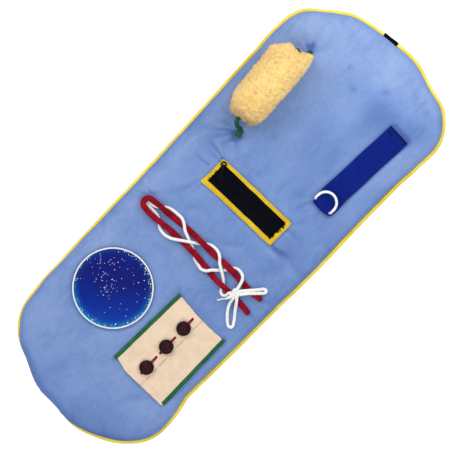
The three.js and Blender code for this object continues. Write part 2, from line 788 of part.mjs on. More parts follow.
// The gel disc: two films welded at the rim, with the gel between them and a welt ring on top
function discPieces() {
  const gelRadius = discRadius - weltWidth - seatGap;
  const gelFloor = seatGap + filmThickness + seatGap;
  const filmFloor = gelFloor + seatGap;
  const dome = (share) => gelRise * (1 - share ** 2) ** 0.6;
  const domeShares = [0, 0.5, 0.8, 0.94, 1];
  const gelTop = domeShares.map((share) => [gelRadius * share, gelFloor + gelEdge + dome(share)]).reverse();
  const gel = [[0, gelFloor], [gelRadius, gelFloor], ...gelTop];
  const filmUnder = gelTop.map(([radius, height]) => [radius + seatGap * (radius > 0), height + seatGap]);
  const filmOver = filmUnder.map(([radius, height]) => [radius, height + filmThickness]);
  const flange = [
    [gelRadius + seatGap, filmFloor],
    [discRadius, filmFloor],
    [discRadius, filmFloor + filmThickness],
  ];
  const inner = gelRadius + seatGap + filmThickness;
  const front = [...filmUnder.reverse(), ...flange, [inner, filmFloor + filmThickness]];
  front.push([inner, filmOver[0][1]], ...filmOver.slice(1));
  const weltFloor = filmFloor + filmThickness + seatGap;
  const weltInner = inner + seatGap;
  const weltMiddle = (weltInner + discRadius) / 2;
  const weltTop = weltFloor + weltHeight;
  const welt = [
    [weltInner, weltFloor],
    [discRadius, weltFloor],
    [discRadius, weltFloor + weltHeight * weltSideShare],
    [weltMiddle, weltTop],
    [weltInner, weltFloor + weltHeight * weltSideShare],
    [weltInner, weltFloor],
  ];
  const backTop = seatGap + filmThickness;
  const back = [[0, seatGap], [discRadius, seatGap], [discRadius, backTop], [0, backTop]];
  const sides = 32;
  return placed(
    discPlace,
    0,
    seat,
    piece("disc_back_film", turned(back, sides), zipBlack, 0.3),
    piece("disc_gel", turned(gel, sides), gelBlue, 0.1),
    piece("disc_front_film", turned(front, sides), gelBlue, 0.05),
    piece("disc_welt", turned(welt, sides), ringWhite, 0.5),
  );
}

// Plan outlines of the two flaps, as shares of the panel's half width and half height
const upperFlapShares = [
  [-1, upperHemShare],
  [0.905, upperHemShare],
  [0.98, 0.5],
  [0.985, 0.86],
  [0, 0.91],
  [-0.905, 0.96],
  [-0.94, 0.8],
  [-1, 0.47],
];
const lowerFlapShares = [
  [-1, -0.95],
  [0.925, -0.95],
  [0.91, -0.5],
  [0.93, lowerTopShare],
  [-1, lowerTopShare],
];

function flapPlan(shares, height) {
  return plate(polygon(shares.map(([x, y]) => [x * panelHalfWidth, y * panelHalfHeight])), height);
}

// The upper flap lies on the pad at its binding and rises over the lower flap, with a doubled hem
function upperFlapGeometry() {
  const low = seatGap;
  const high = seatGap + flapThickness + seatGap;
  const top = panelHalfHeight;
  const rampEnd = lowerTopShare * panelHalfHeight + 3 * seatGap;
  const rampStart = rampEnd + rampLength;
  const hem = upperHemShare * panelHalfHeight;
  const outline = [
    [hem, high],
    [rampEnd, high],
    [rampStart, low],
    [top, low],
    [top, low + flapThickness],
    [rampStart, low + flapThickness],
    [rampEnd, high + flapThickness],
    [hem + hemLength, high + flapThickness],
    [hem + hemLength, high + hemThickness],
    [hem, high + hemThickness],
  ];
  const side = plate(polygon(outline), 2 * panelHalfWidth);
  side.rotateX(Math.PI / 2).rotateZ(Math.PI / 2).translate(-panelHalfWidth, 0, 0);
  const shape = flapPlan(upperFlapShares, high + flapThickness + cutOverrun);
  const slits = buttonShares.map((share) =>
    box(
      slitLength,
      slitWidth,
      high + flapThickness + 2 * cutOverrun,
      share * panelHalfWidth + slitShift,
      buttonRowShare * panelHalfHeight,
      -cutOverrun,
    ),
  );
  return cut(common(side, shape), ...slits);
}

// A domed button with a raised rim, a ring groove and four holes
function buttonGeometry() {
  const profile = [
    [0, 0],
    [0.8, 0],
    [1, 0.3],
    [1, 0.7],
    [0.93, 1],
    [0.8, 1],
    [0.74, 0.74],
    [0.64, 0.82],
    [0.55, buttonWellShare],
    [0, buttonWellShare],
  ];
  const sized = profile.map(([radius, height]) => [radius * buttonRadius, height * buttonThickness]);
  const body = turned(sized, 20);
  const holes = holePlaces().map(([x, y]) => {
    const hole = new THREE.CylinderGeometry(buttonHole, buttonHole, 3 * buttonThickness, 6);
    return hole.rotateX(Math.PI / 2).translate(x, y, 0);
  });
  return cut(body, ...holes);
}

function holePlaces() {
  const half = buttonHolePitch;
  return [[-half, -half], [half, -half], [half, half], [-half, half]];
}

// The thread of one button: two bars across the top, four strands through the holes, and the shank under it
function threadGeometry() {
  const well = buttonWellShare * buttonThickness + seatGap;
  const under = -seatGap - 2 * threadRadius;
  const shankEnd = -buttonLift - flapThickness;
  const strand = 2 * threadRadius;
  const strands = holePlaces().map(([x, y]) => box(strand, strand, well + strand - under, x, y, under));
  const bar = (y, z) => box(2 * buttonHolePitch + strand, strand, strand, 0, y, z);
  const cross = box(strand, 2 * buttonHolePitch + strand, strand, 0, 0, under);
  const shank = new THREE.CylinderGeometry(shankRadius, shankRadius, under + strand - shankEnd, 6);
  shank.rotateX(Math.PI / 2).translate(0, 0, (under + strand + shankEnd) / 2);
  const bars = [-buttonHolePitch, buttonHolePitch].flatMap((y) => [bar(y, well), bar(y, under)]);
  return joined(cross, ...strands, ...bars, shank);
}

function panelPieces() {
  const flapTop = seatGap + flapThickness;
  const upperTop = flapTop + seatGap + flapThickness;
  const binding = (y, turn, height) => {
    const tape = roundedRectangle(bindingLength, bindingWidth, bindingWidth / 4);
    return plate(tape, bindingThickness, height, 3).rotateZ(turn).translate(0, y * panelHalfHeight, 0);
  };
  const buttons = buttonShares.map((share, i) => {
    const group = new THREE.Group();
    group.position.set(share * panelHalfWidth, buttonRowShare * panelHalfHeight, upperTop + buttonLift);
    group.add(
      piece("button_" + (i + 1), buttonGeometry(), buttonBrown, 0.35),
      piece("button_thread_" + (i + 1), threadGeometry(), threadRed),
    );
    return group;
  });
  return placed(
    panelPlace,
    0,
    seat,
    piece("flap_lower", flapPlan(lowerFlapShares, flapThickness).translate(0, 0, seatGap), muslin),
    piece("flap_upper", upperFlapGeometry(), muslin),
    piece("binding_upper", binding(0.93, bindingTurn, flapTop + seatGap), cordGreen),
    piece("binding_lower", binding(-0.945, 0, flapTop + seatGap), cordGreen),
    ...buttons,
  );
}

// The red tube's points: it is lifted wherever the lace passes under it
const loopPoints = [
  [-46, -116.5, loopRest],
  [-47.2, -103, loopRest],
  [-46.8, -80.4, loopRest],
  [-45.5, -67, loopRest],
  [-44.6, -60, loopOver],
  [-44.2, -50, loopOver],
  [-43.9, -42, loopOver],
  [-44.7, -33, loopRest],
  [-45.3, -18, loopRest],
  [-45, -10, loopRest],
  [-44.8, -3, loopOver],
  [-44.6, 10, loopOver],
  [-44.5, 15, loopOver],
  [-44.6, 25, loopRest],
  [-45, 40, loopRest],
  [-46.2, 58, loopRest],
  [-47.2, 70, loopRest],
  [-48.2, 80, loopOver],
  [-48.2, 93, loopOver],
  [-49.4, 106, loopOver],
  [-52.5, 116, loopOver],
  [-58, 119.6, loopOver],
  [-64, 116.4, loopOver],
  [-67.8, 106, loopOver],
  [-67.4, 90, loopOver],
  [-65.6, 72, loopOver],
  [-64.7, 62, loopRest],
  [-64.6, 45, loopRest],
  [-64.4, 30, loopRest],
  [-64.5, 24, loopRest],
  [-64.6, 17, loopOver],
  [-65, 4, loopOver],
  [-65.9, -6, loopOver],
  [-66.8, -14, loopRest],
  [-69.1, -29.5, loopRest],
  [-71, -44, loopRest],
  [-71.6, -51, loopHalf],
  [-71.4, -56, loopOver],
  [-71.2, -66, loopOver],
  [-71.3, -73, loopRest],
  [-71.7, -93, loopRest],
  [-73.4, -114.5, loopRest],
];

// The lace's points: each run starts under the tube's bend, weaves through the legs and ends at the knot
const laceRunAPoints = [
  [-60.6, 116, laceRest],
  [-60.5, 104, laceRest],
  [-60.8, 93, laceRest],
  [-62.6, 84.5, laceRest],
  [-67.5, 77.8, laceRest],
  [-73.2, 71.5, laceRest],
  [-75.8, 60.1, laceRest],
  [-73.6, 49, laceHalf],
  [-69, 40.8, laceOver],
  [-62.5, 31, laceOver],
  [-56.8, 22.3, laceOver],
  [-53, 16.2, laceHalf],
  [-49.2, 10.6, laceRest],
  [-44.5, 4.6, laceRest],
  [-38.9, -2.5, laceRest],
  [-36.8, -10, laceRest],
  [-37.4, -18.5, laceHalf],
  [-41, -25.8, laceOver],
  [-49.5, -34.5, laceOver],
  [-55, -43.2, laceOver],
  [-59.8, -50.4, laceHalf],
  [-64.5, -56.5, laceRest],
  [-71.3, -61.5, laceRest],
  [-79, -64.8, laceRest],
  [-81.6, -70, laceRest],
  [-79, -74.8, laceHalf],
  [-72.6, -75.8, knotRest],
];
const laceRunBPoints = [
  [-55.1, 116, laceRest],
  [-55, 104, laceRest],
  [-52.3, 96.5, laceRest],
  [-47.5, 90.5, laceRest],
  [-42.4, 84.5, laceRest],
  [-39.6, 76.5, laceRest],
  [-38.6, 66, laceRest],
  [-38.8, 56.5, laceHalf],
  [-42.6, 48.6, laceOver],
  [-49, 40.4, laceOver],
  [-53.2, 31.2, laceHalf],
  [-56.8, 22.4, laceRest],
  [-60.6, 13.2, laceRest],
  [-65.2, 6, laceRest],
  [-71.2, -2.1, laceRest],
  [-73.8, -11.5, laceRest],
  [-75.2, -19.5, laceHalf],
  [-71.8, -26.6, laceOver],
  [-65.6, -31.6, laceOver],
  [-60, -37.6, laceHalf],
  [-55, -43.1, laceRest],
  [-50.2, -47.6, laceRest],
  [-43.8, -51.8, laceRest],
  [-37.4, -57.2, laceRest],
  [-36.2, -65, laceRest],
  [-38, -71.8, laceHalf],
  [-43.4, -76.8, laceOver],
  [-51.6, -79.4, laceOver],
  [-58.2, -80.7, knotRest],
];
const bowRightPoints = [
  [-58.8, -86.4, knotRest],
  [-50.5, -92, laceOver],
  [-42, -99.2, laceOver],
  [-34.6, -106, laceHalf],
  [-29.6, -112, laceRest],
  [-32, -118.4, laceRest],
  [-38, -116.9, laceHalf],
  [-44.3, -110.2, laceOver],
  [-54.6, -99.4, laceOver],
  [-62.9, -90.6, knotRest],
];
const bowDownPoints = [
  [-74.3, -86.1, knotRest],
  [-83, -87.6, laceHalf],
  [-93.8, -93.4, laceRest],
  [-103.6, -101.8, laceRest],
  [-109.6, -109, laceRest],
  [-109, -114.6, laceRest],
  [-103.4, -114.4, laceRest],
  [-94.4, -108.6, laceRest],
  [-85.4, -101.4, laceHalf],
  [-77.6, -96, laceOver],
  [-70.4, -90.5, knotRest],
];
const bowTailPoints = [
  [-74.9, -81.4, knotRest + laceRadius],
  [-81, -79, laceOver + laceRadius],
  [-87, -74, laceHalf],
  [-93, -70.4, laceRest],
];

function lacingPieces() {
  const width = 2 * laceRadius;
  const lace = (name, points, steps) => {
    return piece(name, tube(cordRoute(points, steps), width, width, 8), laceWhite);
  };
  const knot = new THREE.SphereGeometry(1, 16, 10).rotateX(Math.PI / 2);
  knot.scale(knotRadius, knotRadius, knotHalfHeight).translate(knotPlace.x, knotPlace.y, knotRest);
  const loop = tube(cordRoute(loopPoints, 64), loopWidth, loopHeight, 8);
  const group = new THREE.Group();
  group.position.z = seat;
  group.add(
    piece("lacing_loop", loop, laceRed),
    lace("lace_run_a", laceRunAPoints, 38),
    lace("lace_run_b", laceRunBPoints, 38),
    piece("bow_knot", closed(knot), laceWhite),
    lace("bow_loop_right", bowRightPoints, 14),
    lace("bow_loop_down", bowDownPoints, 14),
    lace("bow_tail", bowTailPoints, 4),
  );
  return group;
}

const lapPad = new THREE.Group();
lapPad.add(...padPieces(), zipPieces(), strapPieces(), rollPieces());
lapPad.add(discPieces(), panelPieces(), lacingPieces());

export default lapPad;
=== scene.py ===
import math
import random

import bpy
import numpy as np
from mathutils import Matrix, Vector


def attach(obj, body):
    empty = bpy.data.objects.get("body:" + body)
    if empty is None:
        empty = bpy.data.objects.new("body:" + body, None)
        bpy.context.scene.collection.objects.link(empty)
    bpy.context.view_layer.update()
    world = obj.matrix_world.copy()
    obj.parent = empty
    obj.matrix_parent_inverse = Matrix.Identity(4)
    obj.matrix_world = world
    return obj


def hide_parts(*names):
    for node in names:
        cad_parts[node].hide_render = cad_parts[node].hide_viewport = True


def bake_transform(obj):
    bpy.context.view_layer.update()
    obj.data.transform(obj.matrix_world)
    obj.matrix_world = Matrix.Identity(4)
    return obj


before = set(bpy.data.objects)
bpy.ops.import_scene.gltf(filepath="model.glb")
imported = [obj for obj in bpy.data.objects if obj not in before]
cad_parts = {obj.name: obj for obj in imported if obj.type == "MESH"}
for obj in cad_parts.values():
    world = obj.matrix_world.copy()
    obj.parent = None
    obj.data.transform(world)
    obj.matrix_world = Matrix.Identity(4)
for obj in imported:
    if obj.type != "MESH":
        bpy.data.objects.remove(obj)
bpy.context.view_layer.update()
bpy.ops.object.select_all(action="DESELECT")
scene = bpy.context.scene
MM = 0.001


# The pad lies flat on a white sweep, seen straight from above. The camera is turned so that the pad runs from
# the lower left to the upper right, and it takes in a square of 713 mm at the height of the pad.
VIEW_TURN = math.radians(-46.4)
VIEW_SIDE = 0.713
VIEW_MIDDLE = Vector((-0.0006, -0.0097, 0.0217))
CAMERA_HEIGHT = 8
SENSOR = 36
bpy.ops.object.camera_add(location=VIEW_MIDDLE + Vector((0, 0, CAMERA_HEIGHT)), rotation=(0, 0, VIEW_TURN))
camera = bpy.context.object
camera.data.sensor_width = SENSOR
camera.data.lens = SENSOR * CAMERA_HEIGHT / VIEW_SIDE
camera.data.clip_end = 30
scene.camera = camera
scene.view_settings.view_transform = "Standard"


# Light and floor: a soft lamp beyond the pad's upper long side, weaker ones over its ends, a small one close to
# the right end, which the photo shows brightest, and a floor that is white to the camera.
def linear(red, green, blue):
    """The linear colour, with alpha, of an sRGB one in 0 to 255."""
    parts = []
    for part in (red, green, blue):
        share = part / 255
        parts.append(share / 12.92 if share <= 0.04045 else ((share + 0.055) / 1.055) ** 2.4)
    return (*parts, 1)


def material(name, color, roughness, sheen=0, metallic=0, gloss=0.3):
    """A node material and its shader. gloss is the specular level, which is low on cloth."""
    made = bpy.data.materials.new(name)
    made.use_nodes = True
    shader = made.node_tree.nodes["Principled BSDF"]
    shader.inputs["Base Color"].default_value = linear(*color)
    shader.inputs["Roughness"].default_value = roughness
    shader.inputs["Sheen Weight"].default_value = sheen
    shader.inputs["Sheen Roughness"].default_value = 0.4
    shader.inputs["Metallic"].default_value = metallic
    shader.inputs["Specular IOR Level"].default_value = gloss
    return made, shader


def node(made, kind, *linked, **values):
    """A node of a material: linked are (input, output socket) pairs, and values set its properties or inputs."""
    new = made.node_tree.nodes.new("ShaderNode" + kind)
    for key, value in values.items():
        if hasattr(new, key):
            setattr(new, key, value)
        else:
            new.inputs[key.replace("_", " ")].default_value = value
    for socket, source in linked:
        made.node_tree.links.new(source, new.inputs[socket])
    return new


def feed(made, part, target):
    """Gives an input a link, where the part is an output socket, or else a plain value."""
    if isinstance(part, bpy.types.NodeSocket):
        made.node_tree.links.new(part, target)
    else:
        target.default_value = part


def math_of(made, operation, *parts):
    """A sum on sockets and plain numbers."""
    new = node(made, "Math", operation=operation)
    for index, part in enumerate(parts):
        feed(made, part, new.inputs[index])
    return new.outputs[0]


for place, size, power in (((0.15, 1.5, 1.35), 1.0, 14), ((-1.0, -0.8, 1.9), 1.7, 14), ((1.0, -0.4, 1.6), 1.2, 7),
                           ((0.5, 0.02, 0.32), 0.3, 0.58)):
    bpy.ops.object.light_add(type="AREA", location=place)
    lamp = bpy.context.object
    lamp.data.size = size
    lamp.data.energy = power
    lamp.visible_camera = False
    lamp.rotation_euler = (-Vector(place)).to_track_quat("-Z", "Y").to_euler()

world = bpy.data.worlds.new("white_room")
scene.world = world
world.use_nodes = True
room = world.node_tree.nodes["Background"]
room.inputs["Strength"].default_value = 0.5
room.inputs["Color"].default_value = linear(244, 247, 255)
white = node(world, "Background", Color=(1, 1, 1, 1))
seen = node(world, "LightPath").outputs
shown = math_of(world, "MAXIMUM", seen["Is Camera Ray"], seen["Is Glossy Ray"])
shown = math_of(world, "MAXIMUM", shown, seen["Is Transmission Ray"])
mixed = node(world, "MixShader", (0, shown), (1, room.outputs[0]), (2, white.outputs[0]))
feed(world, mixed.outputs[0], world.node_tree.nodes["World Output"].inputs["Surface"])

bpy.ops.mesh.primitive_plane_add(size=8, location=(0, 0, -0.0005))
floor = bpy.context.object
floor.name = "floor"
sweep, paper = material("white_sweep", (250, 250, 248), 0.9, gloss=0.5)
glow = node(sweep, "Emission", Strength=0.5)
added = node(sweep, "AddShader", (0, paper.outputs[0]), (1, glow.outputs[0]))
shown = node(sweep, "LightPath").outputs["Is Camera Ray"]
mixed = node(sweep, "MixShader", (0, shown), (1, paper.outputs[0]), (2, added.outputs[0]))
feed(sweep, mixed.outputs[0], sweep.node_tree.nodes["Material Output"].inputs["Surface"])
floor.data.materials.append(sweep)


# Laces: a round white braided cotton lace, 5 mm thick. Two runs start under the bend of the red tube, weave
# through its legs and meet in a bow with two loops and a tail. The points are those of the CAD part.
SEAT = 21.7
LOW, HALF, OVER, KNOT = SEAT + 2.8, SEAT + 5.7, SEAT + 8.6, SEAT + 10.5
LACE_RADIUS = 2.5


def distances(line):
    """How far along a line each of its points lies."""
    return np.concatenate([[0], np.cumsum(np.linalg.norm(np.diff(line, axis=0), axis=1))])


def length_of(line):
    """The whole length of a line."""
    return float(np.linalg.norm(np.diff(line, axis=0), axis=1).sum())


def places_on(line, at):
    """The points of a line at these distances along it."""
    along = distances(line)
    return np.stack([np.interp(at, along, line[:, k]) for k in range(3)], axis=-1)


def smooth_line(points, step, lowest=None):
    """Evenly spaced points, in millimetres, on a centripetal curve through the given ones."""
    knots = [Vector(p) for p in points]
    knots = [2 * knots[0] - knots[1], *knots, 2 * knots[-1] - knots[-2]]
    fine = []
    for a, b, c, d in zip(knots, knots[1:], knots[2:], knots[3:]):
        t1 = (b - a).length ** 0.5
        t2 = t1 + (c - b).length ** 0.5
        t3 = t2 + (d - c).length ** 0.5
        for k in range(24):
            t = t1 + (t2 - t1) * k / 24
            ab = a.lerp(b, t / t1)
            bc = b.lerp(c, (t - t1) / (t2 - t1))
            cd = c.lerp(d, (t - t2) / (t3 - t2))
            abc = ab.lerp(bc, t / t2)
            bcd = bc.lerp(cd, (t - t1) / (t3 - t1))
            fine.append(abc.lerp(bcd, (t - t1) / (t2 - t1)))
    fine.append(knots[-2])
    line = np.array(fine)
    if lowest is not None:
        line[:, 2] = np.maximum(line[:, 2], lowest)
    length = distances(line)[-1]
    return places_on(line, np.linspace(0, length, max(2, round(length / step)) + 1))


def chosen(*pieces):
    """Selects these pieces alone, with the first one active."""
    bpy.ops.object.select_all(action="DESELECT")
    for piece in pieces:
        piece.select_set(True)
    bpy.context.view_layer.objects.active = pieces[0]


def mesh_object(name, verts, faces, edges=()):
    """A new object in the scene, from points in metres."""
    mesh = bpy.data.meshes.new(name)
    mesh.from_pydata(verts, edges, faces)
    made = bpy.data.objects.new(name, mesh)
    scene.collection.objects.link(made)
    return made


def faced_out(piece, weld=0):
    """Turns a piece's faces outward, after it joins the points that lie closer than the weld, in metres."""
    chosen(piece)
    bpy.ops.object.mode_set(mode="EDIT")
    bpy.ops.mesh.select_all(action="SELECT")
    if weld:
        bpy.ops.mesh.remove_doubles(threshold=weld)
    bpy.ops.mesh.normals_make_consistent(inside=False)
    bpy.ops.object.mode_set(mode="OBJECT")


def grid_mesh(name, rows, around=False, ends=False, loop=False):
    """A mesh through rows of points, in millimetres, with a UV map in metres along and round the rows."""
    rows = np.array(rows)
    count, sides = rows.shape[:2]
    faces, uvs = [], []
    along = np.linalg.norm(np.diff(rows.mean(1), axis=0), axis=1).cumsum() * MM
    along = np.concatenate([[0], along, [along[-1] + np.linalg.norm(rows[0].mean(0) - rows[-1].mean(0)) * MM]])
    last = count if loop else count - 1
    for i in range(last):
        for k in range(sides if around else sides - 1):
            j, n = (i + 1) % count, (k + 1) % sides
            faces.append((i * sides + k, i * sides + n, j * sides + n, j * sides + k))
            uvs += [(along[i], k), (along[i], k + 1), (along[i + 1], k + 1), (along[i + 1], k)]
    points = rows.reshape(-1, 3) * MM
    if ends:
        points = np.concatenate([points, [rows[0].mean(0) * MM, rows[-1].mean(0) * MM]])
        for k in range(sides):
            n = (k + 1) % sides
            faces.append((count * sides, n, k))
            faces.append((count * sides + 1, (count - 1) * sides + k, (count - 1) * sides + n))
            uvs += [(along[0], k)] * 3 + [(along[last], k)] * 3
    made = mesh_object(name, [tuple(p) for p in points], faces)
    layer = made.data.uv_layers.new(name="along")
    layer.data.foreach_set("uv", [x for u, k in uvs for x in (u, k / sides)])
    chosen(made)
    bpy.ops.object.shade_smooth()
    if around:
        faced_out(made)
    made.select_set(False)
    return made


def swept(name, line, sides, section, loop=False):
    """A tube along a line. section(along, angle) gives its reach across and away from the pad, in millimetres."""
    line = np.array(line)
    ahead = np.roll(line, -1, 0) - np.roll(line, 1, 0) if loop else np.gradient(line, axis=0)
    ahead /= np.linalg.norm(ahead, axis=1)[:, None]
    across = np.cross(ahead, (0, 0, 1))
    across /= np.linalg.norm(across, axis=1)[:, None]
    away = np.cross(across, ahead)
    angle = np.arange(sides) * 2 * math.pi / sides
    wide, high = section(distances(line)[:, None], angle[None, :])
    rows = line[:, None] + wide[..., None] * across[:, None] + high[..., None] * away[:, None]
    return grid_mesh(name, rows[:, ::-1], around=True, ends=not loop, loop=loop)


def ramp(made, source, stops):
    """A colour ramp from (place, colour) stops, with colours in 0 to 255."""
    new = node(made, "ValToRGB", (0, source))
    elements = new.color_ramp.elements
    elements[0].position, elements[1].position = stops[0][0], stops[-1][0]
    elements[0].color, elements[1].color = linear(*stops[0][1]), linear(*stops[-1][1])
    for place, color in stops[1:-1]:
        elements.new(place).color = linear(*color)
    return new.outputs[0]


def bumped(made, shader, height, strength, distance):
    """Bump on a shader, on top of what bump it already has."""
    new = node(made, "Bump", ("Height", height), Strength=strength, Distance=distance)
    if shader.inputs["Normal"].is_linked:
        feed(made, shader.inputs["Normal"].links[0].from_socket, new.inputs["Normal"])
    feed(made, new.outputs[0], shader.inputs["Normal"])


def coated(piece, finish):
    piece.data.materials.clear()
    piece.data.materials.append(finish)


def dressed(piece, body, slot, *nodes, finish=None):
    """Gives a piece its finish, its body and the CAD nodes that it stands for; the slot is not used."""
    if finish:
        coated(piece, finish)
    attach(piece, body)
    if nodes:
        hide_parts(*nodes)
    return piece


lace_white, shader = material("lace_cotton", (246, 244, 238), 0.8, sheen=0.3)
place = node(lace_white, "TexCoord").outputs["Object"]
lint = node(lace_white, "TexNoise", ("Vector", place), Scale=260, Detail=3).outputs["Fac"]
feed(lace_white, ramp(lace_white, lint, [(0.3, (236, 233, 226)), (0.6, (251, 250, 245))]), shader.inputs["Base Color"])
fibre = node(lace_white, "TexNoise", ("Vector", place), Scale=2600, Detail=2).outputs["Fac"]
bumped(lace_white, shader, fibre, 0.3, 0.0003)


def braid(along, angle):
    """The section of the lace: strands that cross over and under each other."""
    strands, pitch = 6, 0.62
    one = strands * angle + pitch * along
    two = strands * angle - pitch * along
    over = 0.22 * np.sin(one) * np.sin(two)
    rise = np.maximum(np.abs(np.cos(one / 2)) ** 0.6 + over, np.abs(np.cos(two / 2)) ** 0.6 - over)
    reach = LACE_RADIUS - 0.32 + 0.3 * rise
    return reach * np.cos(angle), reach * np.sin(angle)


def unravelled(along, angle):
    """The section of the lace's cut end, which thins to a little under half."""
    thin = 1 - 0.55 * np.clip((along - 7) / 7, 0, 1)
    wide, high = braid(along, angle)
    return thin * wide, thin * high


lace_runs = {
    "lace_run_a": [(-60.6, 116, LOW), (-60.5, 104, LOW), (-60.8, 93, LOW), (-62.6, 84.5, LOW), (-67.5, 77.8, LOW),
                   (-73.2, 71.5, LOW), (-75.8, 60.1, LOW), (-73.6, 49, HALF), (-69, 40.8, OVER),
                   (-62.5, 31, OVER), (-56.8, 22.3, OVER), (-53, 16.2, HALF), (-49.2, 10.6, LOW),
                   (-44.5, 4.6, LOW), (-38.9, -2.5, LOW), (-36.8, -10, LOW), (-37.4, -18.5, HALF),
                   (-41, -25.8, OVER), (-49.5, -34.5, OVER), (-55, -43.2, OVER), (-59.8, -50.4, HALF),
                   (-64.5, -56.5, LOW), (-71.3, -61.5, LOW), (-79, -64.8, LOW), (-81.6, -70, LOW),
                   (-79, -74.8, HALF), (-72.6, -75.8, KNOT), (-70.0, -78.0, KNOT)],
    "lace_run_b": [(-55.1, 116, LOW), (-55, 104, LOW), (-52.3, 96.5, LOW), (-47.5, 90.5, LOW), (-42.4, 84.5, LOW),
                   (-39.6, 76.5, LOW), (-38.6, 66, LOW), (-38.8, 56.5, HALF), (-42.6, 48.6, OVER),
                   (-49, 40.4, OVER), (-53.2, 31.2, HALF), (-56.8, 22.4, LOW), (-60.6, 13.2, LOW),
                   (-65.2, 6, LOW), (-71.2, -2.1, LOW), (-73.8, -11.5, LOW), (-75.2, -19.5, HALF),
                   (-71.8, -26.6, OVER), (-65.6, -31.6, OVER), (-60, -37.6, HALF), (-55, -43.1, LOW),
                   (-50.2, -47.6, LOW), (-43.8, -51.8, LOW), (-37.4, -57.2, LOW), (-36.2, -65, LOW),
                   (-38, -71.8, HALF), (-43.4, -76.8, OVER), (-51.6, -79.4, OVER), (-58.2, -80.7, KNOT),
                   (-61.6, -81.6, KNOT)],
    "bow_loop_right": [(-62.4, -84.4, KNOT), (-58.6, -86.6, KNOT), (-51, -93, OVER), (-42.8, -100.4, OVER),
                       (-36, -106.4, HALF), (-31.4, -110.2, LOW), (-29.6, -113.2, LOW), (-31.2, -116.2, LOW),
                       (-34.6, -115.8, LOW), (-37.9, -112.7, HALF), (-42.9, -107.6, OVER), (-52.8, -97.8, OVER),
                       (-61.7, -90.4, KNOT), (-64.4, -87.0, KNOT)],
    "bow_loop_down": [(-70.6, -84.6, KNOT), (-74.3, -86.1, KNOT), (-83, -87.6, HALF), (-93.8, -93.4, LOW),
                      (-103.6, -101.8, LOW), (-108.4, -107.4, LOW), (-110.2, -111.4, LOW), (-109, -114.6, LOW),
                      (-105.8, -115.3, LOW), (-102, -113.6, LOW), (-94.4, -108.6, LOW), (-85.4, -101.4, HALF),
                      (-77.6, -96, OVER), (-70.4, -90.5, KNOT), (-68.2, -87.2, KNOT)],
    "bow_tail": [(-70.8, -82.2, KNOT + LACE_RADIUS / 2), (-74.9, -81.4, KNOT + LACE_RADIUS),
                 (-81, -79, OVER + LACE_RADIUS), (-87, -74, HALF), (-93, -70.4, LOW)],
}
laces = {}
for name, points in lace_runs.items():
    line = smooth_line(points, 0.6, lowest=LOW)
    laces[name] = (swept(name + "_braid", line, 36, unravelled if name == "bow_tail" else braid), line)
    dressed(laces[name][0], "pad", "lace", name, finish=lace_white)

# The knot of the bow: the lace tied round itself and drawn tight, 17 mm across.
KNOT_PLACE = (-66.5, -82.8, KNOT)
KNOT_REACH, KNOT_RISE = 2.0, 2.2
turns = []
for t in np.linspace(0, 2 * math.pi, 181)[:-1] + 0.35:
    turns.append((KNOT_PLACE[0] + KNOT_REACH * (math.sin(t) + 2 * math.sin(2 * t)),
                  KNOT_PLACE[1] + KNOT_REACH * (math.cos(t) - 2 * math.cos(2 * t)),
                  KNOT_PLACE[2] - KNOT_RISE * math.sin(3 * t)))
knot = swept("bow_knot_wrap", turns, 30, lambda along, angle: tuple(0.97 * part for part in braid(along, angle)),
             loop=True)
dressed(knot, "pad", "lace", "bow_knot", finish=lace_white)

tail = laces["bow_tail"][0]
for name, others in (("lace_run_a", [knot]), ("lace_run_b", [knot]), ("bow_loop_right", [knot]),
                     ("bow_loop_down", [knot, tail])):
    piece, line = laces[name]


# Pad: a long plush cushion with a flat filling. The two plush covers are sewn together round the edge with a
# yellow piping between them, and the sewn-on pieces pull soft puckers into the front cover.
CORE_LENGTH = 470
END_REACH = 153.5
UPPER_SIDE = [1.014, 1.003, 0.99, 0.98, 0.977, 0.968]
LEFT_END = [0.968, 0.989, 1.045, 1.046, 0.996, 1.002, 0.989, 1.038, 1.066, 1.1, 1.096, 1.008, 0.93]
LOWER_SIDE = [0.93, 0.952, 0.967, 0.99, 0.988, 0.997]
RIGHT_END = [0.997, 1.054, 1.16, 1.16, 1.065, 1.042, 1.006, 1.011, 1.053, 1.072, 1.117, 1.058, 1.014]
UPPER_SHOW = [0.65, 0.5, 0.45, 0.5, 0.35, 0.25]
LEFT_SHOW = [0.25, 0.3, 0, 0, 0.4, 0.65, 1.1]
LOWER_SHOW = [1.1, 1.05, 1, 1.05, 1.1, 1.1]
RIGHT_SHOW = [1.1, 1, 0.9, 1.15, 0.8, 0.6, 0.65]
FULL_SHOW = 0.25
SIDE_STEPS, END_STEPS = 90, 130
PIPING_RADIUS = 3
SEAM_HEIGHT = 9
FLANGE = 0.4
GAP = 0.3
FRONT_RISE = 12.0
ROLL_INSET = 30


def share_at(shares, place):
    """The share at a place from 0 to 1, on a smooth curve through a table."""
    last = len(shares) - 1
    spot = place * last
    i = min(int(spot), last - 1)
    t = spot - i
    a, b, c, d = (shares[min(max(k, 0), last)] for k in (i - 1, i, i + 1, i + 2))
    va, vb = (c - a) / 2, (d - b) / 2
    return (2 * b - 2 * c + va + vb) * t ** 3 + (-3 * b + 3 * c - 2 * va - vb) * t ** 2 + va * t + b


